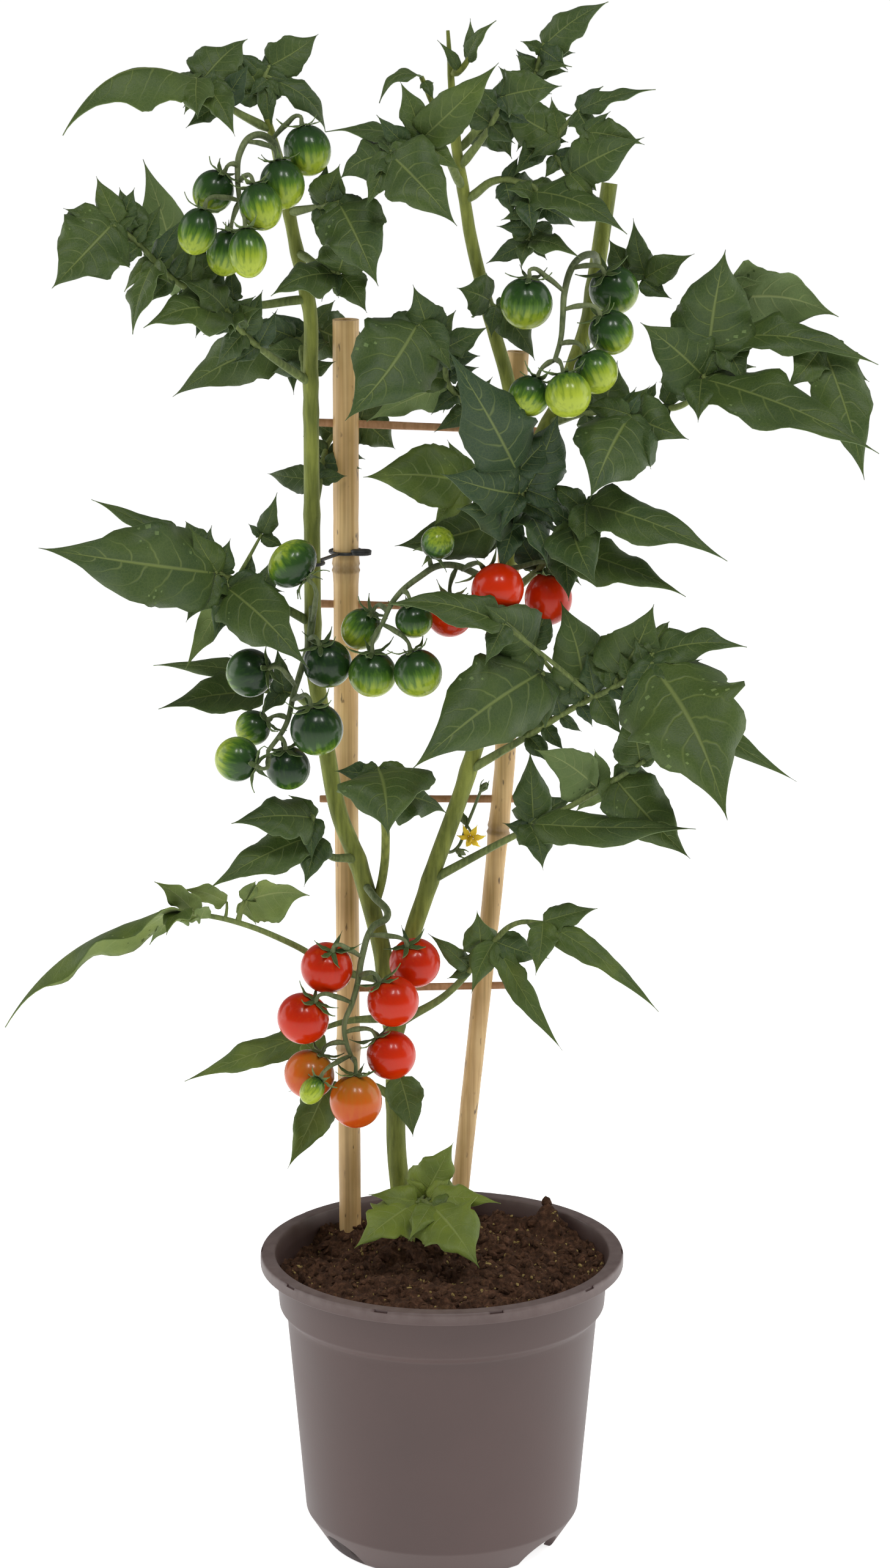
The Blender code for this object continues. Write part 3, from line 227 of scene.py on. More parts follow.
def stem_finish(name, dark, light, scale):
    """`scale` is streaks per metre round the stem: 420 makes them 2.4 mm wide, and 700 makes them 1.4 mm."""
    made, tree, shader = new_finish(name, Roughness=0.6, Specular_IOR_Level=0.3, Sheen_Weight=0.1,
                                    Sheen_Roughness=0.4)
    place = add(tree, "ShaderNodeTexCoord").outputs["Object"]
    stretched = add(tree, "ShaderNodeMapping", {
        "Vector": place, "Scale": (scale, scale, scale * STREAK_STRETCH)})
    streaks = add(tree, "ShaderNodeTexNoise", {"Vector": stretched.outputs[0], "Scale": 1.0, "Detail": 3.0})
    cloud = add(tree, "ShaderNodeTexNoise", {
        "Vector": place, "Scale": STEM_CLOUD_SCALE, "Detail": 2.0}).outputs["Fac"]
    mixed = add(tree, "ShaderNodeMath", {0: streaks.outputs["Fac"], 1: cloud}, operation="ADD").outputs[0]
    level = add(tree, "ShaderNodeMapRange", {0: mixed, 1: 0.75, 2: 1.3}).outputs[0]
    colour = add(tree, "ShaderNodeValToRGB", {0: level}, stops=[(0.0, dark), (1.0, light)]).outputs["Color"]
    tree.links.new(colour, shader.inputs["Base Color"])
    hairs = add(tree, "ShaderNodeTexNoise", {
        "Vector": place, "Scale": HAIR_SCALE, "Detail": 3.0}).outputs["Fac"]
    bump = add(tree, "ShaderNodeBump", {"Strength": 0.4, "Distance": 0.0006, "Height": hairs})
    tree.links.new(bump.outputs[0], shader.inputs["Normal"])
    return made


STEM_FINISH = stem_finish("stem_tissue", "#555f1f", "#8c9440", 420.0)
STALK_FINISH = stem_finish("leaf_stalk_tissue", "#4d5b2c", "#7c894b", 700.0)
TRUSS_FINISH = stem_finish("truss_stalk_tissue", "#46542f", "#747e55", 700.0)
print("stem materials:", STEM_FINISH.name, STALK_FINISH.name, TRUSS_FINISH.name)

# %% [markdown]
# ## Tomato skin
# A tomato's skin is a thin clear wax over coloured flesh, so it gives sharp highlights. Unripe
# fruit is nearly black-green at the shoulders, by the stalk, and pale green at the far end, with
# darker streaks that run down like the lines on a globe. Ripe fruit turns from orange to red.
#
# Each fruit stores its own globe coordinates in `grain`, with the stalk end up, so the streaks
# follow the fruit whichever way it hangs. `tone` says how far a fruit has greened or ripened.

# %% Fruit materials
SKIN_STREAKS = (6.0, 6.0, 0.9)  # to a fruit's radius, so they change round it and hardly down it
PORE_SCALE = 900.0  # pores of 1.1 mm, coarser than real ones, which wouldn't show


def fruit_finish(name, stops, streak_colour, streak_share, **even):
    made, tree, shader = new_finish(name, **even)
    globe = add(tree, "ShaderNodeAttribute", attribute_name="grain").outputs["Vector"]
    tone = add(tree, "ShaderNodeAttribute", attribute_name="tone").outputs["Fac"]
    up = add(tree, "ShaderNodeSeparateXYZ", {0: globe}).outputs["Z"]
    level = add(tree, "ShaderNodeMapRange", {0: up, 1: -1.0, 2: 1.0}).outputs[0]
    long_noise = add(tree, "ShaderNodeMapping", {"Vector": globe, "Scale": SKIN_STREAKS})
    streaks = add(tree, "ShaderNodeTexNoise", {"Vector": long_noise.outputs[0], "Scale": 1.0,
                                               "Detail": 3.0}).outputs["Fac"]
    soft = add(tree, "ShaderNodeMapRange", {0: streaks, 1: 0.3, 2: 0.7, 3: -0.12, 4: 0.12}).outputs[0]
    level = add(tree, "ShaderNodeMath", {0: level, 1: soft}, operation="ADD").outputs[0]
    level = add(tree, "ShaderNodeMath", {0: level, 1: tone}, operation="ADD").outputs[0]
    skin = add(tree, "ShaderNodeValToRGB", {0: level}, stops=stops).outputs["Color"]
    mask = add(tree, "ShaderNodeMapRange", {0: streaks, 1: 0.5, 2: 0.62, 3: 0.0, 4: streak_share}).outputs[0]
    colour = add(tree, "ShaderNodeMix", {0: mask, 6: skin, 7: linear(streak_colour)},
                 data_type="RGBA").outputs[2]
    tree.links.new(colour, shader.inputs["Base Color"])
    place = add(tree, "ShaderNodeTexCoord").outputs["Object"]
    pores = add(tree, "ShaderNodeTexNoise", {
        "Vector": place, "Scale": PORE_SCALE, "Detail": 2.0}).outputs["Fac"]
    bump = add(tree, "ShaderNodeBump", {"Strength": 0.05, "Distance": 0.0004, "Height": pores})
    tree.links.new(bump.outputs[0], shader.inputs["Normal"])
    return made


WAXY = {"Roughness": 0.24, "Specular_IOR_Level": 0.24, "Coat_Weight": 0.14, "Coat_Roughness": 0.06}
RIPE_FINISH = fruit_finish(
    "ripe_tomato_skin", [(0.0, "#c52c00"), (0.5, "#c02700"), (0.85, "#b12000"), (1.0, "#b42c02")],
    "#c4390a", 0.2, **WAXY)
ORANGE_FINISH = fruit_finish(
    "ripening_tomato_skin", [(0.0, "#b9430f"), (0.5, "#bd5710"), (1.0, "#a0661c")], "#c06a1e", 0.1, **WAXY)
UNRIPE_FINISH = fruit_finish(
    "unripe_tomato_skin",
    [(0.0, "#a3b338"), (0.3, "#879c2c"), (0.5, "#4f7124"), (0.68, "#2a481c"), (1.0, "#1b3119")],
    "#3a5a20", 0.22, **WAXY)
print("fruit materials:", RIPE_FINISH.name, ORANGE_FINISH.name, UNRIPE_FINISH.name)

# %% [markdown]
# ## Pot, soil, cane and tie materials
# - The pot is injection-moulded polypropylene, coloured right through. It has a fine spark-eroded
#   grain and a soft shine. Its rim is painted paler in noisy patches: a painted highlight where the
#   light falls on it.
# - The soil is moist peat: dark brown crumbs with tan fibres and a few pale grains.
# - Bamboo has a waxy straw-coloured skin with fine long fibres and dark specks of mould.
# - The rungs are split cane without the skin, so they are redder and duller.

# %% Pot material
FLOW_SCALE = 14.0  # clouds of 7 cm, left where the melt flowed
RIM_LIGHT_PATCH_SCALE = 160.0  # patches of painted rim highlight, 6 mm wide
SPARK_SCALE = 1500.0  # a grain of 0.7 mm; the real one is finer and wouldn't show


def pot_finish():
    made, tree, shader = new_finish("moulded_polypropylene", Specular_IOR_Level=0.45)
    place = add(tree, "ShaderNodeTexCoord").outputs["Object"]
    cloud = add(tree, "ShaderNodeTexNoise", {
        "Vector": place, "Scale": FLOW_SCALE, "Detail": 5.0}).outputs["Fac"]
    colour = add(tree, "ShaderNodeValToRGB", {0: cloud},
                 stops=[(0.3, "#4a3936"), (0.55, "#4f3d3a"), (0.8, "#54423f")]).outputs["Color"]
    # Painted highlight: on the rim, where the light falls, the colour is mixed in noisy patches towards a
    # paler one.
    rim_light_share = add(tree, "ShaderNodeAttribute", attribute_name="tone").outputs["Fac"]
    rim_light_patches = add(tree, "ShaderNodeTexNoise", {
        "Vector": place, "Scale": RIM_LIGHT_PATCH_SCALE, "Detail": 4.0}).outputs["Fac"]
    share = add(tree, "ShaderNodeMath", {0: rim_light_share, 1: rim_light_patches}, operation="MULTIPLY").outputs[0]
    mixed = add(tree, "ShaderNodeMix", {0: share, 6: colour, 7: linear("#80736f")}, data_type="RGBA")
    tree.links.new(mixed.outputs[2], shader.inputs["Base Color"])
    gloss = add(tree, "ShaderNodeMapRange", {0: cloud, 1: 0.2, 2: 0.8, 3: 0.42, 4: 0.55}).outputs[0]
    tree.links.new(gloss, shader.inputs["Roughness"])
    grain = add(tree, "ShaderNodeTexNoise", {
        "Vector": place, "Scale": SPARK_SCALE, "Detail": 2.0}).outputs["Fac"]
    bump = add(tree, "ShaderNodeBump", {"Strength": 0.12, "Distance": 0.0004, "Height": grain})
    tree.links.new(bump.outputs[0], shader.inputs["Normal"])
    return made


POT_FINISH = pot_finish()
print("pot material:", POT_FINISH.name)

# %% Soil materials
def crumb_finish(name, stops, scale):
    """`scale` is lumps per metre: 260 makes them 4 mm wide, and 400 makes them 2.5 mm."""
    made, tree, shader = new_finish(name, Roughness=0.92, Specular_IOR_Level=0.2)
    place = add(tree, "ShaderNodeTexCoord").outputs["Object"]
    lumps = add(tree, "ShaderNodeTexNoise", {"Vector": place, "Scale": scale, "Detail": 6.0,
                                             "Roughness": 0.7}).outputs["Fac"]
    colour = add(tree, "ShaderNodeValToRGB", {0: lumps}, stops=stops).outputs["Color"]
    tree.links.new(colour, shader.inputs["Base Color"])
    bump = add(tree, "ShaderNodeBump", {"Strength": 0.9, "Distance": 0.002, "Height": lumps})
    tree.links.new(bump.outputs[0], shader.inputs["Normal"])
    return made


PEAT_FINISH = crumb_finish(
    "moist_peat", [(0.3, "#2b1d15"), (0.5, "#4b3324"), (0.68, "#70503c"), (0.8, "#8a6c46")], 260.0)
CRUMB_FINISH = crumb_finish("peat_crumbs", [(0.3, "#30201a"), (0.6, "#604430"), (0.8, "#8c6246")], 400.0)
GRIT_FINISH = crumb_finish("tan_grit", [(0.3, "#8a7343"), (0.7, "#b9a468")], 300.0)
print("soil materials:", PEAT_FINISH.name, CRUMB_FINISH.name, GRIT_FINISH.name)

# %% Bamboo and rung materials
FIBRE_SCALE = (620.0, 620.0, 9.0)  # fibres 1.6 mm wide and 11 cm long
CANE_CLOUD_SCALE = 22.0  # patches of 45 mm
SPECK_SCALE = (380.0, 380.0, 120.0)  # specks of mould 2.6 mm wide and 8 mm high


def cane_finish(name, stops, fleck_colour, flecks, roughness):
    """`tone` is 1 on a cane's nodes, which are darker and dirtier."""
    made, tree, shader = new_finish(name, Roughness=roughness, Specular_IOR_Level=0.45)
    place = add(tree, "ShaderNodeTexCoord").outputs["Object"]
    fibre_way = add(tree, "ShaderNodeMapping", {"Vector": place, "Scale": FIBRE_SCALE}).outputs[0]
    fibres = add(tree, "ShaderNodeTexNoise",
                 {"Vector": fibre_way, "Scale": 1.0, "Detail": 4.0}).outputs["Fac"]
    cloud = add(tree, "ShaderNodeTexNoise", {
        "Vector": place, "Scale": CANE_CLOUD_SCALE, "Detail": 4.0}).outputs["Fac"]
    mixed = add(tree, "ShaderNodeMath", {0: fibres, 1: cloud}, operation="ADD").outputs[0]
    level = add(tree, "ShaderNodeMapRange", {0: mixed, 1: 0.7, 2: 1.3}).outputs[0]
    colour = add(tree, "ShaderNodeValToRGB", {0: level}, stops=stops).outputs["Color"]
    speck_way = add(tree, "ShaderNodeMapping", {"Vector": place, "Scale": SPECK_SCALE}).outputs[0]
    specks = add(tree, "ShaderNodeTexNoise",
                 {"Vector": speck_way, "Scale": 1.0, "Detail": 2.0}).outputs["Fac"]
    mask = add(tree, "ShaderNodeMapRange", {0: specks, 1: 0.67, 2: 0.75, 3: 0.0, 4: flecks}).outputs[0]
    ring = add(tree, "ShaderNodeAttribute", attribute_name="tone").outputs["Fac"]
    ring = add(tree, "ShaderNodeMath", {0: ring, 1: 0.5}, operation="MULTIPLY").outputs[0]
    mask = add(tree, "ShaderNodeMath", {0: mask, 1: ring}, operation="MAXIMUM").outputs[0]
    stained = add(tree, "ShaderNodeMix", {0: mask, 6: colour, 7: linear(fleck_colour)}, data_type="RGBA")
    tree.links.new(stained.outputs[2], shader.inputs["Base Color"])
    bump = add(tree, "ShaderNodeBump", {"Strength": 0.25, "Distance": 0.0004, "Height": fibres})
    tree.links.new(bump.outputs[0], shader.inputs["Normal"])
    return made


BAMBOO_FINISH = cane_finish("bamboo_skin", [(0.0, "#a58550"), (0.5, "#c39f68"), (1.0, "#ddbd85")],
                            "#4a3623", 0.8, 0.45)
RUNG_FINISH = cane_finish("split_cane", [(0.0, "#946a42"), (0.5, "#a97d57"), (1.0, "#bd946d")],
                          "#5d4228", 0.4, 0.65)
print("cane materials:", BAMBOO_FINISH.name, RUNG_FINISH.name)

# %% Tie and petal materials
SCUFF_SCALE = 300.0  # scuffs of 3 mm


def tie_finish():
    made, tree, shader = new_finish("black_nylon", Specular_IOR_Level=0.5)
    place = add(tree, "ShaderNodeTexCoord").outputs["Object"]
    cloud = add(tree, "ShaderNodeTexNoise", {
        "Vector": place, "Scale": SCUFF_SCALE, "Detail": 3.0}).outputs["Fac"]
    colour = add(tree, "ShaderNodeValToRGB", {0: cloud}, stops=[(0.3, "#17191a"), (0.7, "#2b2d2d")])
    tree.links.new(colour.outputs["Color"], shader.inputs["Base Color"])
    gloss = add(tree, "ShaderNodeMapRange", {0: cloud, 1: 0.3, 2: 0.7, 3: 0.32, 4: 0.5}).outputs[0]
    tree.links.new(gloss, shader.inputs["Roughness"])
    return made


def petal_finish():
    made, tree, shader = new_finish("tomato_petal", Roughness=0.6, Specular_IOR_Level=0.3)
    grain = add(tree, "ShaderNodeAttribute", attribute_name="grain").outputs["Vector"]
    along = add(tree, "ShaderNodeSeparateXYZ", {0: grain}).outputs["Y"]
    colour = add(tree, "ShaderNodeValToRGB", {0: along},
                 stops=[(0.0, "#c9a512"), (0.4, "#efc92c"), (1.0, "#f6dc4a")])
    tree.links.new(colour.outputs["Color"], shader.inputs["Base Color"])
    return made


TIE_FINISH = tie_finish()
PETAL_FINISH = petal_finish()
print("materials:", len(bpy.data.materials))

# %% [markdown]
# ## One skin for many patches
# A leaf has several blades, and a truss has many sepals and fruit. Each could be its own object,
# but one mesh per solid keeps the scene tidy. `Skin` gathers patches of points and faces, and the
# two attributes that the materials read.

# %% Skin
class Skin:
    """Patches of points in millimetres, gathered into one mesh."""

    def __init__(self):
        self.points, self.faces, self.grain, self.tone, self.slots = [], [], [], [], []
        self.count = 0

    def patch(self, points, faces, grain, tone, slot):
        """Adds points (n, 3), faces as lists of point numbers, grain (n, 3), one tone and one slot."""
        self.points.append(points)
        self.faces += [[corner + self.count for corner in face] for face in faces]
        self.grain.append(grain)
        self.tone.append(np.broadcast_to(np.asarray(tone, float), (len(points),)))
        self.slots += [slot] * len(faces)
        self.count += len(points)

    def mesh(self, name, materials):
        made = bpy.data.meshes.new(name)
        if self.count:
            made.from_pydata((np.concatenate(self.points) * MM).tolist(), [], self.faces)
            made.polygons.foreach_set("material_index", self.slots)
            made.attributes.new("grain", "FLOAT_VECTOR", "POINT")
            made.attributes["grain"].data.foreach_set("vector", np.concatenate(self.grain).ravel())
            made.attributes.new("tone", "FLOAT", "POINT")
            made.attributes["tone"].data.foreach_set("value", np.concatenate(self.tone))
            made.shade_smooth()
        for material in materials:
            made.materials.append(material)
        return made


def unit(vector):
    return vector / np.linalg.norm(vector, axis=-1, keepdims=True)


print("points in a new skin:", Skin().count)

# %% Faces of grids and rings
def sheet_faces(rows, columns, flip=False):
    """Quads of a grid of points that is stored row by row."""
    faces = []
    for i in range(rows - 1):
        for j in range(columns - 1):
            a = i * columns + j
            quad = [a, a + 1, a + columns + 1, a + columns]
            faces.append(quad[::-1] if flip else quad)
    return faces


def ring_faces(rings, sectors, flip=False):
    """Faces of rings of points that are stored ring by ring, with the two end points stored last."""
    faces = []
    for i in range(rings - 1):
        for j in range(sectors):
            k = (j + 1) % sectors
            a, b = i * sectors, (i + 1) * sectors
            faces.append([a + j, b + j, b + k, a + k])
    start, last = rings * sectors, (rings - 1) * sectors
    for j in range(sectors):
        k = (j + 1) % sectors
        faces.append([start, j, k])
        faces.append([start + 1, last + k, last + j])
    return [face[:1] + face[:0:-1] for face in faces] if flip else faces


print("the face of a grid of two by two points:", sheet_faces(2, 2))

# %% [markdown]
# ## One blade
# A blade could be cut from a picture on a plane, but then it has no thickness, no bulges and a
# jagged edge. Here it is a small grid of points whose shape follows a few plain rules:
#
# - its half-width is a sine that is broadest near the foot and is raised to a growing power
#   towards the tip, which draws the blade out into a long point;
# - the margin swings out in a few forward-leaning lobes that fade towards the tip;
# - the midrib is an arc, and the two halves fold up from it and roll down again at the margin;
# - the tissue bulges between side veins, which run on the same curves that the material draws.
#
# The underside is the same grid, a little lower, with its own material.

# %% Points of a blade
Blade = namedtuple("Blade", "foot tip width face bend fold tone twist curl lobe",
                   defaults=(3, 0.2, 0.35, 0.0, 0.06, 0.2))
LARGE_GRID = (27, 13)
SMALL_GRID = (15, 9)
SEPAL_GRID = (9, 5)
SMALL_BLADE, SLIM_BLADE = 11.0, 4.5  # narrower blades get a coarser grid
BLADE_THICKNESS = 0.45
BLADE_BROADEST = 0.56  # less moves the broadest part towards the foot


def blade_grid(blade):
    if blade.width < SLIM_BLADE:
        return SEPAL_GRID
    return LARGE_GRID if blade.width >= SMALL_BLADE else SMALL_GRID


def blade_points(blade, rng):
    """Points of the upper side, the way out of it at each point, and the blade's grain."""
    foot, tip = np.array(blade.foot, float), np.array(blade.tip, float)
    chord = tip - foot
    length = np.linalg.norm(chord)
    face = np.array(blade.face, float)
    face = unit(face - face.dot(chord) / length ** 2 * chord)
    across = np.cross(chord / length, face)
    rows, columns = blade_grid(blade)
    t, s = np.meshgrid(np.linspace(0, 1, rows), np.linspace(-1, 1, columns), indexing="ij")
    side = np.abs(s)
    lobes = max(1.8, min(3.6, length / 18)) + rng.uniform(-0.3, 0.3)
    lobes += 5 * max(0.0, blade.lobe - 0.3)  # a deeply cut blade has more of them
    phase = np.where(s < 0, rng.uniform(0, 1), rng.uniform(0, 1))
    place = (lobes * (t + 0.07 * np.sin(2 * np.pi * (1.4 * t + phase))) + phase) % 1.0
    lobe = np.sin(np.pi * place ** 1.8) - 0.5
    uneven = 1 + 0.55 * np.sin(2 * np.pi * (0.8 * t + 2 * phase))
    depth = blade.lobe * uneven * np.clip(1.1 - t, 0, 1) ** 0.7
    ragged = 0.035 * np.sin(2 * np.pi * (8.3 * t + 3 * phase)) * np.clip(1 - t, 0, 1)
    outline = np.sin(np.pi * t ** BLADE_BROADEST) ** (0.62 + 0.95 * t)
    half = 0.5 * blade.width * outline * (1 + side ** 2 * (depth * lobe + ragged))
    half = half * np.where(s < 0, rng.uniform(0.9, 1.1), 1.0)
    half = np.maximum(half, 0.12)
    wide = s * half * math.cos(blade.fold)
    roll = rng.uniform(0.15, 0.42)
    lift = half * side * math.sin(blade.fold) - roll * half * side ** 2.5
    course = SIDE_VEINS * (t - VEIN_SLANT * side ** VEIN_CURVE) + VEIN_STAGGER * np.sign(s)
    bulge = np.abs(np.sin(np.pi * course)) ** 0.7 * (side * (1.15 - side)) * 1.9
    lift = lift + 0.08 * half * bulge
    ripple = np.sin(2 * np.pi * (rng.uniform(1.6, 2.8) * t + phase)) * side ** 2.2
    buckle = np.sin(2 * np.pi * (rng.uniform(0.7, 1.2) * t + 1.7 * phase)) * side
    lift = lift + half * (rng.uniform(0.14, 0.3) * ripple + rng.uniform(0.05, 0.16) * buckle)
    twist = blade.twist + rng.uniform(-0.25, 0.25)
    angle = twist * (t - 0.3)
    wide, lift = wide * np.cos(angle) - lift * np.sin(angle), wide * np.sin(angle) + lift * np.cos(angle)
    arch = blade.bend * 4 * t * (1 - t) - blade.curl * length * np.clip(t - 0.45, 0, 1) ** 2 * 2
    ahead = unit(chord[None, None] + face * (blade.bend * 4 * (1 - 2 * t))[..., None])
    normal = np.cross(across, ahead)
    sweep = rng.uniform(-0.05, 0.05) * length * np.sin(np.pi * t)
    points = (foot + chord * t[..., None] + face * arch[..., None]
              + across * (wide + sweep)[..., None] + normal * lift[..., None])
    grain = np.stack([s, t, np.zeros_like(t)], axis=-1)
    return points, normal, grain


print("points on each side of a large blade:", LARGE_GRID[0] * LARGE_GRID[1])

# %% Add a blade
def add_blade(skin, blade, rng, upper=0, under=1):
    points, normal, grain = blade_points(blade, rng)
    upper_points = points.reshape(-1, 3)
    lower_points = (points - normal * BLADE_THICKNESS).reshape(-1, 3)
    flat = grain.reshape(-1, 3)
    tone = blade.tone + rng.uniform(-0.08, 0.08)
    rows, columns = blade_grid(blade)
    skin.patch(upper_points, sheet_faces(rows, columns), flat, tone, upper)
    rim = list(range(columns))
    rim += [i * columns + columns - 1 for i in range(1, rows)]
    rim += [(rows - 1) * columns + j for j in range(columns - 2, -1, -1)]
    rim += [i * columns for i in range(rows - 2, 0, -1)]
    total = rows * columns
    faces = sheet_faces(rows, columns, flip=True)
    faces += [[b, b - total, a - total, a] for a, b in zip(rim, rim[1:] + rim[:1])]
    skin.patch(lower_points, faces, flat, tone, under)


sample = Skin()
add_blade(sample, Blade((0, 0, 0), (0, 0, 50), 20, (0, -1, 0)), np.random.default_rng(0))
print("faces of a large blade:", len(sample.faces))

# %% [markdown]
# ## Stalks that follow a line
# Stems, leaf stalks and fruit stalks are all round tubes that taper along a line. One small tree of
# Geometry Nodes makes every one of them: it resamples a curve, sweeps a circle whose size is the
# curve's own radius, gives the tubes their material, and joins them to the blades or fruit that
# the object already holds.

# %% The stalk tree
def tree_input(tree, name, kind, value=None):
    made = tree.interface.new_socket(name, in_out="INPUT", socket_type=kind)
    if value is not None:
        made.default_value = value
    return made


def stalk_tree():
    tree = bpy.data.node_groups.new("stalks_along_lines", "GeometryNodeTree")
    tree_input(tree, "Geometry", "NodeSocketGeometry")
    tree_input(tree, "Lines", "NodeSocketObject")
    tree_input(tree, "Sides", "NodeSocketInt", 10)
    tree_input(tree, "Step", "NodeSocketFloat", 3.0 * MM)
    tree_input(tree, "Finish", "NodeSocketMaterial")
    tree.interface.new_socket("Geometry", in_out="OUTPUT", socket_type="NodeSocketGeometry")
    given = add(tree, "NodeGroupInput").outputs
    lines = add(tree, "GeometryNodeObjectInfo", {"Object": given["Lines"]}).outputs["Geometry"]
    even = add(tree, "GeometryNodeResampleCurve", {"Curve": lines, "Length": given["Step"]}, mode="LENGTH")
    ring = add(tree, "GeometryNodeCurvePrimitiveCircle", {"Resolution": given["Sides"], "Radius": 1.0})
    radius = add(tree, "GeometryNodeInputRadius").outputs[0]
    tubes = add(tree, "GeometryNodeCurveToMesh", {
        "Curve": even.outputs[0], "Profile Curve": ring.outputs[0], "Scale": radius, "Fill Caps": True})
    smooth = add(tree, "GeometryNodeSetShadeSmooth", {"Geometry": tubes.outputs[0]}).outputs[0]
    whole = add(tree, "GeometryNodeRealizeInstances", {"Geometry": smooth}).outputs[0]
    dressed = add(tree, "GeometryNodeSetMaterial",
                  {"Geometry": whole, "Material": given["Finish"]}).outputs[0]
    joined = add(tree, "GeometryNodeJoinGeometry")
    tree.links.new(dressed, joined.inputs[0])
    tree.links.new(given["Geometry"], joined.inputs[0])
    add(tree, "NodeGroupOutput", {0: joined.outputs[0]})
    return tree


STALK_TREE = stalk_tree()
print("stalk tree:", [item.name for item in STALK_TREE.interface.items_tree])

# %% Run a tree
def run_tree(base, tree, **values):
    """Runs a tree on a base object with its inputs set, and turns the result into a plain mesh."""
    modifier = base.modifiers.new(tree.name, "NODES")
    modifier.node_group = tree
    sockets = {item.name: item.identifier for item in tree.interface.items_tree if item.in_out == "INPUT"}
    for name, value in values.items():
        modifier[sockets[name]] = value
    bpy.context.view_layer.update()
    graph = bpy.context.evaluated_depsgraph_get()
    result = bpy.data.meshes.new_from_object(base.evaluated_get(graph))
    old = base.data
    base.modifiers.clear()
    base.data = result
    bpy.data.meshes.remove(old)
    return base


def place_mesh(name, mesh):
    made = bpy.data.objects.new(name, mesh)
    scene.collection.objects.link(made)
    return made


print("inputs to set:", [item.name for item in STALK_TREE.interface.items_tree if item.in_out == "INPUT"])

# %% Grow a piece
def line_object(lines):
    """A curve object with one smooth line for each (points, radii) in millimetres."""
    curve = bpy.data.curves.new("lines", "CURVE")
    curve.dimensions = "3D"
    for points, radii in lines:
        spline = curve.splines.new("BEZIER")
        spline.bezier_points.add(len(points) - 1)
        for knot, point, radius in zip(spline.bezier_points, points, radii):
            knot.co = Vector(point) * MM
            knot.handle_left_type = knot.handle_right_type = "AUTO"
            knot.radius = radius * MM
    return place_mesh("lines", curve)


def grow(name, skin, materials, lines, finish, sides=10, step=3.0):
    """One piece: the skin's blades or fruit, with stalks along the lines."""
    base = place_mesh(name, skin.mesh(name, materials))
    guide = line_object(lines)
    run_tree(base, STALK_TREE, Lines=guide, Sides=sides, Step=step * MM, Finish=finish)
    bpy.data.objects.remove(guide, do_unlink=True)
    return base


# %% [markdown]
# ## Where the stems run
# The main stem forks just above the soil. Two leaders climb the ladder and a third was topped, so
# it ends in a flat cut. Stems thicken a little at each leaf, which is called a node, so extra
# points with a larger radius go in where the leaves join.

# %% Stem plan
STEMS = {
    "left": (
        [(-19, 25, 134), (-20, 25, 161), (-24, 27, 205), (-25, 30, 264), (-31, 30, 311), (-43, 29, 359),
         (-53, 28, 386), (-59, 27, 418), (-66, 25, 470), (-66, 22, 525), (-66, 20, 590), (-66, 16, 650),
         (-73, 12, 684), (-81, 8, 727), (-86, 5, 747)],
        [5.8, 5.4, 5.1, 5.0, 4.9, 4.7, 4.5, 4.4, 4.3, 4.2, 3.9, 3.6, 3.3, 2.6, 1.6],
    ),
    "right": (
        [(-24, 28, 240), (-25, 30, 264), (-16, 30, 319), (-3, 31, 360), (11, 34, 399), (24, 34, 444),
         (34, 33, 509), (37, 31, 560), (35, 28, 604), (22, 23, 655), (14, 18, 689), (7, 10, 734),
         (5, 8, 760), (3, 5, 790)],
        [3.6, 4.6, 4.6, 4.5, 4.4, 4.2, 4.0, 3.8, 3.6, 3.4, 3.2, 2.6, 1.8, 0.9],
    ),
    "topped": (
        [(36, 32, 535), (43, 40, 568), (62, 48, 601), (75, 52, 641), (80, 55, 674), (85, 58, 709)],
        [3.6, 4.0, 4.2, 4.2, 4.2, 4.1],
    ),
    "shoot": ([(-37, 29, 330), (-31, 27, 352), (-29, 17, 378), (-30, 5, 400)], [2.2, 2.3, 2.2, 1.8]),
}


def on_stem(stem, height):
    """The point and radius of a stem at a height, in millimetres."""
    points, radii = STEMS[stem]
    for low, high, thin, thick in zip(points, points[1:], radii, radii[1:]):
        if low[2] <= height <= high[2]:
            t = (height - low[2]) / (high[2] - low[2])
            return np.array(low) * (1 - t) + np.array(high) * t, thin * (1 - t) + thick * t
    return np.array(points[-1], float), radii[-1]


print("stems:", list(STEMS))

# %% [markdown]
# ## Where the leaves grow
# A tomato leaf is compound: a long stalk carries one end leaflet and a few pairs of side leaflets,
# each on a little stalk of its own. The plan lists, for every leaf, where it joins its stem, the line
# of its stalk, and each leaflet: its foot, its tip, its width, the way its upper side faces, how far
# its middle bends and how sharply it folds, and its tone, twist, curl and lobes where they differ
# from the usual. A fixed seed for each leaf gives small differences. The leaves are listed roughly
# from the top down, first those of the left leader, then those of the right one and the topped stem.

# %% Leaf plan, top of the left leader
FRONT = (0.0, -1.0, 0.25)
LEFT_FRONT = (-0.6, -0.8, 0.25)
RIGHT_FRONT = (0.6, -0.8, 0.25)
RISING = (0.0, -0.7, 0.7)
UP = (0.0, -0.35, 0.95)
AWAY = (0.0, 0.9, 0.4)
Leaf = namedtuple("Leaf", "stem height rachis blades")

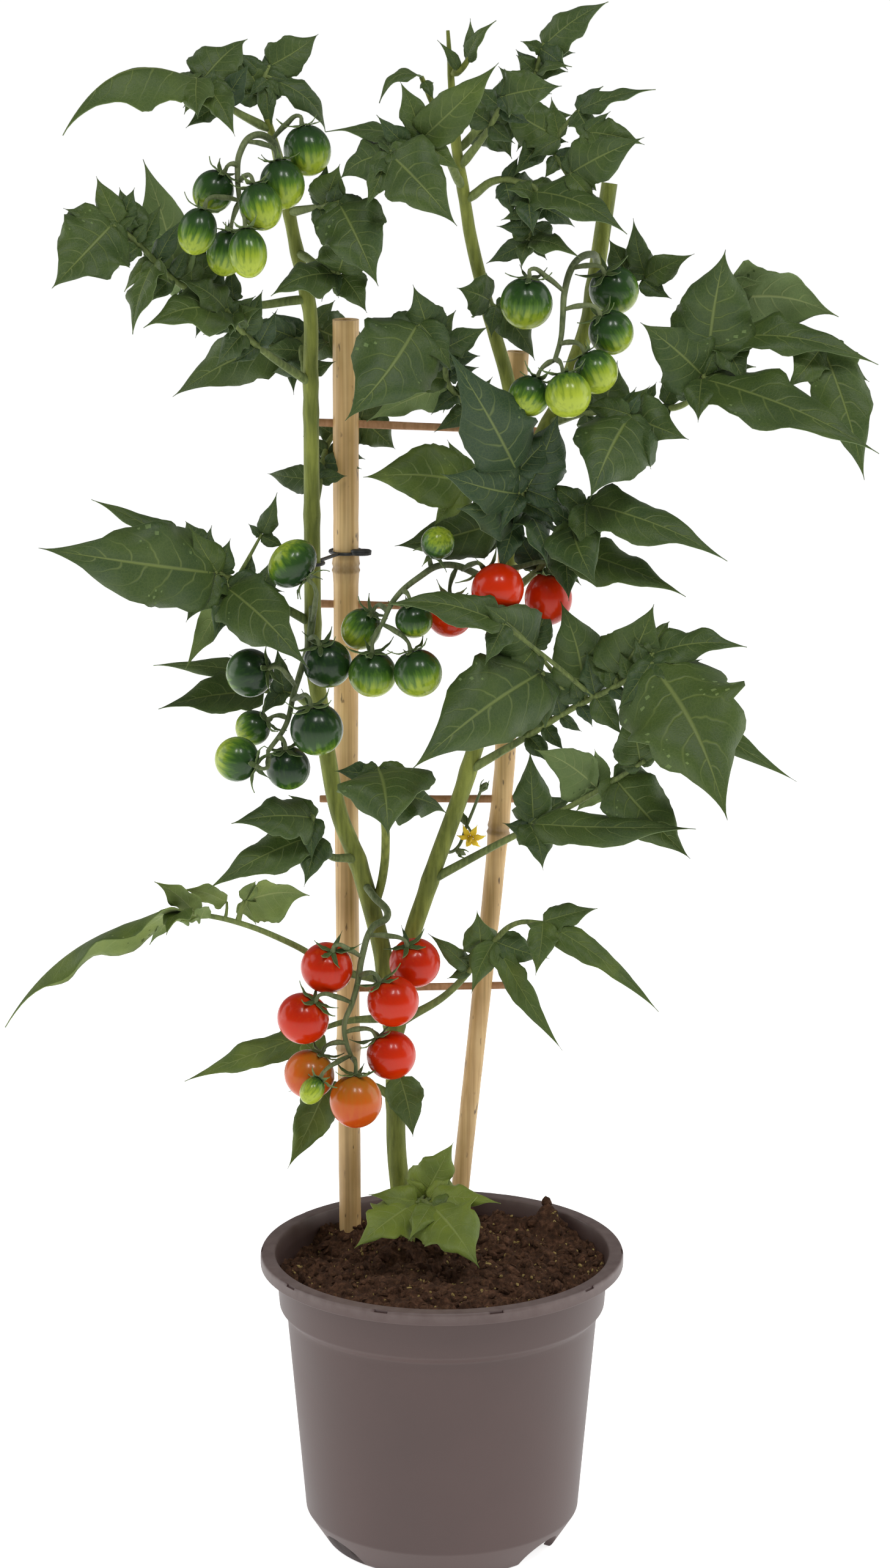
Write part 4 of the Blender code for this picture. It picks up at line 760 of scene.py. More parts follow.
LEAVES = {
    "leaf_left_arch": Leaf("left", 741, [(-103, 0, 752), (-121, -12, 768)], [
        Blade((-121, -12, 768), (-184, -42, 746), 34, UP, 17, -0.5, 0.5),
        Blade((-115, -9, 764), (-101, -26, 742), 15, FRONT, 3, 0.2, 0.5),
        Blade((-118, -4, 766), (-96, 14, 786), 26, RISING, 3, 0.3, 0.4, 0.5, 0.06, 0.35),
    ]),
    "leaf_left_crown": Leaf("left", 742, [(-87, 7, 752), (-89, 10, 762), (-86, 13, 771)], [
        Blade((-85, 14, 772), (-61, 24, 787), 20, FRONT, 2, 0.2, 0.3),
        Blade((-91, 10, 762), (-104, 18, 780), 20, RISING),
        Blade((-82, 12, 765), (-57, 20, 739), 14, RIGHT_FRONT, 8),
        Blade((-86, 8, 764), (-84, 4, 740), 10, FRONT, 2),
    ]),
    "leaf_left_upper": Leaf("left", 656, [
        (-98, 2, 655), (-129, -12, 667), (-152, -24, 692), (-161, -28, 699)], [
        Blade((-161, -28, 699), (-190, -44, 670), 40, FRONT, 4, 0.3, 0.4, 0.0, 0.06, 0.3),
        Blade((-158, -27, 698), (-169, -24, 722), 14, FRONT),
        Blade((-151, -23, 692), (-158, -20, 716), 20, FRONT),
        Blade((-130, -12, 669), (-147, -4, 728), 27, AWAY, 3, 0.1, 0.3, 0.0, 0.02, 0.08),
        Blade((-142, -18, 678), (-152, -44, 648), 20, LEFT_FRONT, 3, 0.3, 0.5),
        Blade((-127, -10, 667), (-106, -2, 682), 17, FRONT),
    ]),
    "leaf_left_glossy": Leaf("left", 613, [(-88, -2, 632), (-102, -16, 648), (-106, -22, 656)], [
        Blade((-104, -18, 654), (-145, -46, 652), 30, RISING, 5, 0.25, 0.35),
        Blade((-106, -20, 655), (-128, -28, 672), 20, RISING),
        Blade((-102, -16, 650), (-89, -22, 657), 12, FRONT),
    ]),
    "leaf_left_shaded": Leaf("left", 598, [(-69, 34, 612), (-71, 52, 630), (-66, 64, 634)], [
        Blade((-76, 54, 630), (-139, 62, 599), 31, FRONT, 3),
        Blade((-65, 66, 634), (-36, 80, 622), 26, FRONT),
    ]),
    "leaf_left_saddle": Leaf("left", 680, [(-62, -2, 676), (-52, -10, 673)], [
        Blade((-53, -9, 672), (-84, -24, 664), 22, RISING, 3),
        Blade((-51, -10, 673), (-46, -18, 695), 24, FRONT),
        Blade((-50, -10, 672), (-37, -18, 654), 16, FRONT),
    ]),
    "leaf_left_pennant": Leaf("left", 700, [(-64, -4, 704), (-50, -22, 709)], [
        Blade((-50, -23, 708), (-31, -50, 672), 34, FRONT, 5, 0.2, 0.35, 0.0, 0.04, 0.1),
        Blade((-58, -12, 706), (-50, -18, 727), 20, FRONT),
    ]),
}
print("leaves so far:", len(LEAVES))

# %% Leaf plan, rest of the left leader
LEAVES |= {
    "leaf_left_wing": Leaf("left", 488, [(-88, 14, 503), (-106, 2, 516), (-120, -6, 525)], [
        Blade((-114, -4, 520), (-198, -50, 542), 46, FRONT, 6, 0.25, 0.4, 0.0, 0.03, 0.12),
        Blade((-124, -2, 530), (-177, 12, 556), 14, RISING),
        Blade((-108, -2, 512), (-67, -45, 481), 34, FRONT, 4, 0.2, 0.35),
        Blade((-107, 4, 512), (-131, 8, 468), 17, AWAY, 5, 0.3, 0.4),
        Blade((-91, 8, 538), (-83, 2, 560), 10, FRONT),
    ]),
    "leaf_left_nook": Leaf("left", 545, [(-63, 36, 556), (-61, 52, 568), (-54, 69, 580), (-42, 71, 586)], [
        Blade((-64, 40, 560), (-90, 52, 561), 14, FRONT),
        Blade((-41, 71, 586), (-24, 72, 570), 20, FRONT),
        Blade((-42, 71, 586), (-34, 74, 612), 18, FRONT),
    ]),
    "leaf_left_back": Leaf("left", 440, [(-76, 38, 447), (-90, 44, 448)], [
        Blade((-92, 43, 448), (-146, 30, 443), 24, RISING, 4),
        Blade((-80, 48, 453), (-150, 54, 461), 16, RISING, 6),
    ]),
    "leaf_left_shelf": Leaf("left", 362, [(-58, 10, 369), (-66, 2, 380), (-66, -4, 394)], [
        Blade((-66, -2, 392), (-106, -24, 396), 27, RISING, 4),
        Blade((-66, 0, 382), (-119, -22, 361), 24, RISING, 4, 0.2, 0.4),
    ]),
    "leaf_centre_apron": Leaf("shoot", 392, [(-31, -10, 412), (-32, -16, 420)], [
        Blade((-32, -15, 421), (-27, -54, 397), 46, FRONT, 6, 0.2, 0.4),
        Blade((-30, -8, 405), (3, 4, 394), 26, RISING, 3),
    ]),
    "leaf_left_long": Leaf("left", 296, [(-52, 14, 306), (-78, 0, 325), (-106, -12, 340), (-134, -24, 349)], [
        Blade((-132, -23, 348), (-219, -72, 302), 38, (0, 0.5, 0.85), 14, -0.3, 0.7, 0.0, 0.0, 0.25),
        Blade((-110, -10, 350), (-132, -14, 358), 14, AWAY, 3, 0.2, 0.7),
        Blade((-100, -7, 350), (-68, -2, 352), 30, AWAY, 2, -0.3, 0.7),
        Blade((-124, -20, 345), (-146, -20, 364), 16, AWAY, 3, 0.2, 0.7),
    ]),
    "leaf_left_low": Leaf("left", 276, [(-50, 36, 272), (-68, 36, 266)], [
        Blade((-68, 36, 266), (-136, 30, 242), 19, RISING, 3, 0.2, 0.7),
    ]),
    "leaf_left_hanging": Leaf("left", 232, [(-36, 26, 240), (-58, 28, 240)], [
        Blade((-60, 27, 240), (-80, -5, 205), 22, FRONT, 3, 0.2, 0.65),
    ]),
    "leaf_base_small": Leaf("left", 250, [(-22, 18, 250)], [
        Blade((-22, 16, 248), (-15, 8, 217), 20, FRONT, 2, 0.2, 0.6),
    ]),
    "leaf_basal_shoot": Leaf("left", 172, [(-16, 12, 180), (-11, 3, 184), (-5, -8, 185)], [
        Blade((-5, -9, 185), (19, -46, 166), 34, RISING, 3, 0.15, 0.95, 0.0, 0.06, 0.5),
        Blade((-14, 0, 184), (-45, -28, 170), 29, RISING, 3, 0.15, 0.95, 0.0, 0.06, 0.5),
        Blade((-9, 7, 186), (6, 12, 213), 23, FRONT, 3, 0.15, 0.95, 0.0, 0.06, 0.5),
        Blade((-6, 1, 186), (30, -16, 190), 16, RISING, 3, 0.2, 0.95),
    ]),
}
print("leaves so far:", len(LEAVES))

# %% Leaf plan, top of the right leader
LEAVES |= {
    "leaf_tip_shoot": Leaf("right", 768, [(10, 2, 772), (14, 0, 778)], [
        Blade((12, 1, 775), (26, -6, 796), 9, LEFT_FRONT),
        Blade((13, 1, 776), (14, 6, 796), 6, FRONT),
        Blade((8, 2, 771), (-2, -4, 786), 6, FRONT),
    ]),
    "leaf_tip_curl": Leaf("right", 738, [(-2, 4, 750), (-10, -2, 768)], [
        Blade((-10, -2, 768), (-31, -12, 757), 11, UP, 8),
        Blade((-9, -1, 766), (-4, -8, 757), 7, FRONT),
    ]),
    "leaf_top_spire": Leaf("right", 752, [(20, 18, 752), (40, 28, 752), (48, 30, 772), (51, 29, 782)], [
        Blade((50, 29, 780), (82, 26, 803), 20, LEFT_FRONT, 3),
        Blade((46, 29, 768), (37, 30, 776), 10, FRONT),
        Blade((48, 28, 768), (64, 16, 772), 8, RISING),
    ]),
    "leaf_top_cup": Leaf("right", 722, [(22, -2, 741), (30, -14, 757)], [
        Blade((30, -15, 760), (58, -26, 766), 24, FRONT, 3, 0.3),
    ]),
    "leaf_top_sail": Leaf("right", 712, [(0, -12, 732), (-12, -26, 739), (-25, -36, 735)], [
        Blade((-25, -36, 734), (7, -62, 703), 34, FRONT, 5, 0.2, 0.4),
        Blade((-25, -35, 734), (-50, -30, 722), 26, RISING),
        Blade((-10, -24, 740), (-57, -12, 744), 20, UP, 3),
        Blade((-9, -25, 741), (27, -38, 778), 24, FRONT, 4, 0.3, 0.5),
    ]),
    "leaf_top_fan": Leaf("right", 730, [(20, 16, 742), (40, 18, 748), (54, 6, 732), (63, -6, 719)], [
        Blade((64, -8, 722), (98, -26, 741), 26, FRONT, 3),
        Blade((68, -2, 752), (104, -14, 764), 12, RISING),
        Blade((72, -12, 742), (99, -20, 737), 15, FRONT, 4),
        Blade((57, 4, 738), (26, 10, 756), 24, FRONT),
        Blade((34, 16, 744), (11, 24, 732), 22, FRONT),
    ]),
    "leaf_top_branch": Leaf("right", 705, [
        (26, 8, 716), (38, 2, 716), (48, -4, 711), (44, 2, 692), (41, 5, 679)], [
        Blade((44, -3, 712), (90, -38, 697), 24, RISING, 4),
        Blade((47, -2, 710), (31, -10, 714), 14, RISING),
        Blade((44, 2, 690), (33, 6, 699), 16, FRONT),
        Blade((44, 1, 687), (68, -18, 682), 14, RISING, 5),
        Blade((36, 6, 715), (44, 26, 700), 13, FRONT),
    ]),
    "leaf_upper_star": Leaf("right", 648, [(25, 12, 654)], [
        Blade((24, 10, 656), (8, -2, 664), 22, FRONT),
        Blade((28, 11, 652), (47, 14, 625), 17, FRONT, 3),
    ]),
    "leaf_upper_flag": Leaf("right", 574, [(18, 20, 598), (4, 6, 613), (0, -6, 632), (-11, -17, 647)], [
        Blade((-12, -18, 648), (-47, -50, 606), 46, FRONT, 5, 0.1, 0.25, 0.0, 0.04, 0.1),
        Blade((0, -8, 634), (23, -17, 647), 15, FRONT, 3, 0.2, 0.25),
        Blade((2, 6, 614), (-38, 16, 595), 22, AWAY, 3),
        Blade((-6, -12, 642), (-14, -22, 668), 20, FRONT, 3, 0.2, 0.25),
    ]),
}
print("leaves so far:", len(LEAVES))

# %% Leaf plan, rest of the right leader and the topped stem
LEAVES |= {
    "leaf_centre_blue": Leaf("right", 540, [(39, 14, 548), (41, -4, 557), (38, -14, 570)], [
        Blade((37, -17, 575), (3, -46, 640), 38, FRONT, 10, 0.1, -0.05, 0.0, 0.02, 0.12),
        Blade((38, -12, 562), (0, -44, 578), 29, FRONT, 3, 0.1, -0.05, 0.0, 0.02, 0.12),
        Blade((36, -2, 546), (8, -42, 560), 24, FRONT, 3, 0.1, 0.0, 0.0, 0.02, 0.12),
        Blade((43, -10, 565), (58, -18, 604), 27, FRONT, 2, 0.1, -0.05, 0.0, 0.02, 0.12),
        Blade((43, 2, 552), (53, -26, 528), 20, RIGHT_FRONT, 2, 0.1, 0.0, 0.0, 0.02, 0.12),
    ]),
    "leaf_centre_left": Leaf("right", 550, [(25, 20, 556), (14, 9, 564)], [
        Blade((12, 7, 565), (-39, -14, 571), 34, FRONT, 3, 0.1, 0.65, 0.0, 0.02, 0.1),
        Blade((28, 21, 541), (-24, 17, 530), 28, FRONT, 1),
    ]),
    "leaf_right_lower": Leaf("right", 500, [(46, 22, 514), (60, 6, 532), (72, -12, 556)], [
        Blade((73, -14, 557), (141, -46, 537), 29, RISING, 8, 0.15, 0.35, 0.0, 0.08),
        Blade((65, -9, 545), (76, -50, 524), 28, FRONT, 3, 0.1, 0.3),
        Blade((64, 4, 530), (121, -34, 516), 27, RISING, 4),
    ]),
    "leaf_right_big": Leaf("right", 408, [(40, 18, 428), (66, 0, 449), (90, -21, 467), (105, -34, 480)], [
        Blade((105, -36, 480), (140, -91, 415), 60, FRONT, 6, 0.15, 0.4, 0.0, 0.05, 0.22),
        Blade((106, -28, 484), (152, -36, 490), 20, RISING, 4),
        Blade((72, -4, 460), (60, -8, 506), 34, FRONT, 3),
        Blade((88, -16, 470), (106, -24, 508), 34, FRONT, 3),
        Blade((104, -30, 470), (177, -52, 424), 18, FRONT, 5),
        Blade((50, -10, 470), (-14, -65, 434), 46, FRONT, 6, 0.1, 0.3, 0.0, 0.05, 0.15),
        Blade((46, -6, 482), (21, -34, 510), 30, FRONT, 3, 0.1, 0.3),
        Blade((30, -27, 499), (-28, -36, 512), 21, RISING, 4),
    ]),
    "leaf_right_swept": Leaf("right", 350, [(27, 18, 372), (50, 4, 388), (79, -12, 409), (102, -26, 428)], [
        Blade((46, 2, 388), (126, -46, 400), 24, RISING, 4),
        Blade((79, -10, 410), (48, 2, 428), 29, AWAY, 2),
        Blade((100, -24, 427), (92, -18, 452), 24, FRONT),
        Blade((88, -16, 416), (125, -40, 381), 31, FRONT, 3, 0.2, 0.45),
        Blade((47, 6, 386), (45, 4, 426), 20, FRONT, 2, 0.2, 0.25),
    ]),
    "leaf_right_hook": Leaf("right", 272, [(2, 24, 290), (24, 14, 318), (38, 2, 335), (54, -8, 338)], [
        Blade((53, -8, 338), (111, -32, 299), 16, RISING, 6, 0.3, 0.6),
        Blade((28, 10, 322), (62, -12, 271), 15, FRONT, 4, 0.3, 0.6),
        Blade((20, 16, 314), (18, 8, 340), 19, FRONT, 3, 0.2, 0.5),
        Blade((14, 19, 306), (-7, 14, 326), 10, FRONT, 3, 0.2, 0.5),
    ]),
    "leaf_far_right": Leaf("topped", 606, [(98, 30, 602), (121, 12, 603), (131, 2, 620), (136, 2, 634)], [
        Blade((133, 0, 632), (140, -12, 684), 44, FRONT, 3, 0.15, 0.35, 0.0, 0.04, 0.15),
        Blade((131, 0, 618), (214, -52, 592), 34, RISING, 6, 0.15, 0.4, 0.0, 0.06, 0.12),
        Blade((130, 1, 620), (99, -12, 648), 34, FRONT, 3),
        Blade((140, 6, 638), (216, -18, 630), 22, RISING, 8, 0.2, 0.4),
        Blade((190, -4, 634), (210, -26, 572), 30, FRONT, 3, 0.15, 0.45),
        Blade((139, 8, 656), (198, 4, 650), 42, AWAY, 6, 0.15, 0.3),
    ]),
    "leaf_right_mid": Leaf("topped", 588, [(70, 26, 596), (86, 2, 601), (93, -16, 602)], [
        Blade((93, -18, 602), (73, -54, 568), 40, FRONT, 4, 0.1, 0.3, 0.0, 0.04, 0.15),
        Blade((92, -4, 601), (122, -24, 592), 28, FRONT),
        Blade((82, 10, 604), (88, 8, 626), 22, FRONT),
    ]),
    "leaf_topped_small": Leaf("topped", 655, [(92, 38, 662), (100, 34, 664)], [
        Blade((102, 33, 667), (96, 24, 695), 13, FRONT),
        Blade((94, 36, 664), (84, 32, 684), 17, FRONT),
        Blade((102, 33, 664), (126, 20, 678), 15, FRONT),
    ]),
}
SHOOTS = ("leaf_tip_shoot", "leaf_tip_curl", "leaf_base_small")  # part of the stem's own solid
print("leaves:", len(LEAVES), "leaflets:", sum(len(leaf.blades) for leaf in LEAVES.values()))

# %% [markdown]
# ## The small leaflets
# A tomato leaf is called interrupted, because small leaflets sit between its large ones, and a large
# leaflet often has a pair of its own at its foot. They could be listed too, but they follow a rule,
# so a loop grows them from each leaf's own stalk and large leaflets. A small leaflet that would leave
# the box of the leaf's solid by more than a small margin isn't grown.

# %% Grow the small leaflets
PAIR_SHARE = 0.52      # a foot leaflet's length, as a share of its large leaflet's
PAIR_RANGE = (9.0, 30.0)
STALK_PAIR_STEP = 12.0
STALK_PAIR_RANGE = (11.0, 25.0)
BOX_MARGIN = 8.0       # how far a small leaflet's tip may leave the box of the leaf's solid
LARGE_LEAFLET = 24.0   # a shorter leaflet has no pair
BARE_BELOW = 380.0     # older, lower leaves have bare stalks


def small_leaflet(foot, way, face, length, tone, rng):
    way = unit(np.array(way) + (0, rng.uniform(-0.35, 0.35), rng.uniform(-0.5, 0.15)))
    # The tone varies at random and leans darker than the large leaflet's: the lean is painted shade, for
    # small leaflets that sit under the large ones.
    return Blade(foot, foot + way * length, length * rng.uniform(0.45, 0.62), face, rng.uniform(0.5, 2.5),
                 rng.uniform(0.1, 0.4), tone + rng.uniform(-0.22, 0.06), rng.uniform(-0.5, 0.5), 0.1, 0.3)


def small_leaflets(leaf, name, rng):
    """The small leaflets that follow from a leaf's plan, in millimetres."""
    grown = []
    for blade in leaf.blades:
        foot, tip = np.array(blade.foot, float), np.array(blade.tip, float)
        length = np.linalg.norm(tip - foot)
        if length < LARGE_LEAFLET:
            continue
        along = (tip - foot) / length
        across = unit(np.cross(along, np.array(blade.face, float)))
        for side in (-1, 1):
            angle = rng.uniform(0.75, 1.25)
            way = along * math.cos(angle) + across * side * math.sin(angle)
            size = np.clip(PAIR_SHARE * length * rng.uniform(0.7, 1.15), *PAIR_RANGE)
            grown.append(small_leaflet(foot - along * 1.5, way, blade.face, size, blade.tone, rng))
    stalk = [np.array(point, float) for point in leaf.rachis] if leaf.height > BARE_BELOW else []
    for low, high in zip(stalk, stalk[1:]):
        span = np.linalg.norm(high - low)
        along = (high - low) / span
        across = unit(np.cross(along, np.array(FRONT)))
        for reach in np.arange(STALK_PAIR_STEP * 0.5, span, STALK_PAIR_STEP):
            for side in (-1, 1):
                size = rng.uniform(*STALK_PAIR_RANGE)
                way = along * 0.35 + across * side
                grown.append(small_leaflet(low + along * reach, way, FRONT, size, 0.25, rng))
    low, high = (np.array(corner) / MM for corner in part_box(name))
    return [blade for blade in grown
            if np.all(blade.tip > low - BOX_MARGIN) and np.all(blade.tip < high + BOX_MARGIN)]


for name, leaf in LEAVES.items():
    if name not in SHOOTS:
        rng = np.random.default_rng(len(name) * 31 + leaf.height)
        LEAVES[name] = leaf._replace(blades=leaf.blades + small_leaflets(leaf, name, rng))
print("with small ones:", sum(len(leaf.blades) for leaf in LEAVES.values()))

# %% [markdown]
# ## Growing the leaves
# Every leaflet's stalk starts at the nearest point of the leaf's own stalk. A leaf's stalk is widest
# where it joins the stem, like a small foot, and thins towards the end leaflet.

# %% Grow the leaves
def nearest_on(line, point):
    """The point of a line of points that lies nearest to the given one."""
    best = None
    for low, high in zip(line, line[1:]):
        span = high - low
        t = float(np.clip((point - low).dot(span) / span.dot(span), 0, 1))
        found = low + span * t
        if best is None or np.linalg.norm(found - point) < np.linalg.norm(best - point):
            best = found
    return best


STALK_FOOT, STALK_THINNING = 2.1, 0.9  # a stalk's radius at its foot, and what it loses by its end


def leaf_lines(leaf):
    """The leaf's own stalk and its leaflets' stalks, as (points, radii)."""
    start, stem_radius = on_stem(leaf.stem, leaf.height)
    line = [start] + [np.array(point, float) for point in leaf.rachis]
    count = len(line) - 1
    radii = [STALK_FOOT - STALK_THINNING * i / count for i in range(count + 1)]
    first = line[1] - line[0]
    root = line[0] + first * min(0.5, (stem_radius + 3) / np.linalg.norm(first))
    lines = [([line[0], root] + line[1:], [stem_radius * 0.6, radii[0] * 1.15] + radii[1:])]
    free_part = line[1:] if len(line) > 2 else line
    for blade in leaf.blades:
        foot, tip = np.array(blade.foot, float), np.array(blade.tip, float)
        start = nearest_on(free_part, foot)
        middle = (start + foot) / 2 + (foot - tip) * 0.02
        if np.linalg.norm(foot - start) < 1.5:
            continue
        thick = 0.7 + blade.width * 0.012
        lines.append(([start, middle, foot], [thick * 1.25, thick, thick * 0.8]))
    return lines


def leaf_skin(leaf, name, skin):
    rng = np.random.default_rng(sum(ord(letter) * place for place, letter in enumerate(name, 1)))
    for blade in leaf.blades:
        add_blade(skin, blade, rng)


for name, leaf in LEAVES.items():
    if name in SHOOTS:
        continue
    skin = Skin()
    leaf_skin(leaf, name, skin)
    piece = grow(f"{name}_grown", skin, [LEAF_UPPER, LEAF_UNDER], leaf_lines(leaf), STALK_FINISH, 8)
    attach(piece, "root")
    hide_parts(name)
print("leaf pieces:", sum(name not in SHOOTS for name in LEAVES))

# %% [markdown]
# ## The stems
# The stems use the same tree as the stalks. A node is a knot in the line whose radius is a tenth
# larger, set between two knots of the plain radius.

# %% Grow the stems
NODE_SWELLING = 1.1
NODE_REACH = 7.0


def knuckled(stem):
    """A stem's line with a swelling at the height of each leaf on it."""
    points, radii = STEMS[stem]
    heights = sorted(leaf.height for leaf in LEAVES.values() if leaf.stem == stem)
    knots = [(point[2], np.array(point, float), radius) for point, radius in zip(points, radii)]
    for height in heights:
        if not points[0][2] + NODE_REACH < height < points[-1][2] - NODE_REACH:
            continue
        knots = [knot for knot in knots if abs(knot[0] - height) > NODE_REACH + 1]
        for step, swelling in ((-NODE_REACH, 1.0), (0, NODE_SWELLING), (NODE_REACH, 1.0)):
            point, radius = on_stem(stem, height + step)
            knots.append((height + step, point, radius * swelling))
    knots.sort(key=lambda knot: knot[0])
    thinned = [knots[0]]
    for knot in knots[1:]:
        if knot[0] - thinned[-1][0] > 3:
            thinned.append(knot)
    return [knot[1] for knot in thinned], [knot[2] for knot in thinned]


skin = Skin()
lines = [knuckled(stem) for stem in STEMS]
for name in SHOOTS:
    leaf_skin(LEAVES[name], name, skin)
    lines += leaf_lines(LEAVES[name])
stem_piece = grow("stems_grown", skin, [LEAF_UPPER, LEAF_UNDER], lines, STEM_FINISH, 20, 2.0)
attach(stem_piece, "root")
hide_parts("stem")
print("stem faces:", len(stem_piece.data.polygons))

# %% [markdown]
# ## Fruit
# A cherry tomato is nearly a ball. It is drawn in round its stalk, has faint ribs at the shoulders,
# and ends in a tiny scar. A fruit could be a subdivided cube, but rings round its own axis make it
# easy to shape by a formula, and they give the globe coordinates that the skin's streaks follow.
#
# The calyx is the green star on top: five narrow pointed sepals that curl away from the fruit. A
# fruit's little stalk has a swollen knee, where it breaks when the fruit is picked.

# %% Fruit plan
Fruit = namedtuple("Fruit", "centre radius height ripe axis tone", defaults=(1.0, "", (0.1, -0.5, 0.86), 0.0))
Truss = namedtuple("Truss", "stem height stalk fruits")

TRUSSES = {
    "truss_low": Truss("left", 349, [
        (-35, 17, 345), (-28, 12, 337), (-36, 4, 332), (-41, -8, 320), (-43, -14, 309),
        (-46, -17, 298), (-50, -18, 287), (-49, -19, 277), (-46, -20, 269)], [
        Fruit((-59, -14, 316), 13.4, 0.97, "tomato_low_1", (0.25, -0.5, 0.83)),
        Fruit((-71, -24, 292), 13.4, 0.97, "tomato_low_2", (0.5, -0.3, 0.81)),
        Fruit((-68, -24, 262), 13.0, 0.97, "tomato_low_3", (0.5, 0.1, 0.86)),
        Fruit((-44, -34, 251), 13.4, 1.05, "tomato_low_4", (0.0, 0.1, 1.0)),
        Fruit((-26, -20, 271), 12.8, 0.98, "tomato_low_5", (-0.6, 0.0, 0.8)),
        Fruit((-25, -22, 300.5), 13.4, 0.97, "tomato_low_6", (-0.5, -0.1, 0.86)),
        Fruit((-14, 2, 314), 13.2, 0.97, "tomato_low_7", (-0.3, -0.45, 0.84)),
        Fruit((-66, -45, 260), 6.0, 1.25, "", (0.5, 0.5, 0.7), -0.2),
    ]),
    "truss_left": Truss("left", 498, [(-66, 8, 492), (-68, 4, 480), (-72, 2, 467), (-75, -4, 458),
                                      (-79, -10, 443), (-88, -18, 431)], [
        Fruit((-75, -9, 526), 13.4, 0.82, "", (0.7, -0.2, -0.68), 0.12),
        Fruit((-97, -10, 470), 12.2, 1.0, "", (0.8, -0.5, 0.3), 0.3),
        Fruit((-58, -2, 473), 12.4, 1.0, "", (-0.3, -0.4, 0.86), 0.35),
        Fruit((-63, -24, 444), 13.4, 1.0, "", (-0.2, -0.2, 0.96), 0.3),
        Fruit((-78, -12, 421), 11.2, 1.0, "", (-0.1, -0.3, 0.95), 0.35),
        Fruit((-103, -30, 430), 11.3, 1.0, "", (0.8, -0.4, -0.2), 0.0),
        Fruit((-96, -4, 440), 9.0, 1.0, "", (0.8, -0.2, 0.5), 0.0),
    ]),
    "truss_centre": Truss("right", 502, [(20, 18, 514), (2, 8, 522), (-12, -6, 518), (-24, -12, 508),
                                         (-30, -14, 496)], [
        Fruit((-35, -12, 470), 12.2, 0.98, "", (0.0, -0.2, 0.98), -0.08),
        Fruit((-12, -24, 473), 12.2, 1.0, "", (-0.3, 0.1, 0.95), 0.06),
        Fruit((-41, 7, 489), 10.0, 1.1, "", (0.5, -0.2, 0.8), -0.1),
        Fruit((-14, -14, 498), 9.5, 0.95, "", (-0.2, -0.1, 0.96), 0.1),
        Fruit((28, -10, 513), 13.6, 0.95, "tomato_centre_1", (-0.5, 0.6, 0.65)),
        Fruit((54, 6, 505), 12.0, 1.15, "tomato_centre_2", (0.05, -0.1, 0.97)),
        Fruit((4, 2, 497), 11.5, 0.95, "tomato_centre_3", (0.0, 0.5, 0.86)),
        Fruit((-2, -6, 536), 8.5, 1.0, "", (-0.3, 0.6, -0.7), 0.2),
    ]),
    "truss_right": Truss("topped", 668, [(76, 34, 676), (66, 12, 674), (61, -2, 662), (60, -8, 650),
                                         (59, -12, 640), (56, -16, 630)], [
        Fruit((42, -6, 657), 13.0, 1.0, "", (0.1, -0.1, 0.98), 0.0),
        Fruit((86, 12, 661), 12.4, 1.0, "", (-0.4, -0.5, 0.76), 0.0),
        Fruit((84, -10, 643), 11.2, 1.0, "", (-0.5, -0.2, 0.85), 0.0),
        Fruit((76, -27, 626), 11.0, 1.0, "", (-0.5, 0.2, 0.85), -0.05),
        Fruit((62, -42, 617), 11.4, 1.0, "", (-0.2, 0.5, 0.85), -0.25),
        Fruit((43, -28, 614), 10.2, 1.0, "", (0.4, 0.4, 0.85), 0.08),
    ]),
    "truss_top": Truss("left", 724, [(-84, -2, 737), (-93, -10, 740), (-99, -16, 732), (-100, -20, 722),
                                     (-99, -24, 710)], [
        Fruit((-66, -10, 733), 11.6, 1.1, "", (-0.2, 0.1, 0.97), 0.05),
        Fruit((-78, -24, 718), 11.0, 1.12, "", (-0.2, 0.2, 0.96), 0.05),
        Fruit((-88, -40, 709), 10.4, 1.15, "", (-0.3, 0.4, 0.87), 0.05),
        Fruit((-94, -52, 688), 9.4, 1.3, "", (-0.1, 0.3, 0.95), -0.1),
        Fruit((-119, -40, 697), 9.4, 1.25, "", (0.3, 0.2, 0.93), 0.05),
        Fruit((-112, -20, 714), 10.0, 1.1, "", (0.5, -0.1, 0.86), 0.1),
        Fruit((-106, -22, 684), 9.6, 1.2, "", (0.2, 0.0, 0.98), 0.0),
    ]),
}
ORANGE_FRUIT = ("tomato_low_3", "tomato_low_4")
print("fruit planned:", sum(len(truss.fruits) for truss in TRUSSES.values()))

# %% One fruit
FRUIT_RINGS = 22
FRUIT_SECTORS = 32


def fruit_frame(fruit):
    """Three unit vectors of a fruit; the last one points to its stalk."""
    axis = unit(np.array(fruit.axis, float))
    side = unit(np.cross(axis, (0.0, 1.0, 0.2)))
    return side, np.cross(axis, side), axis


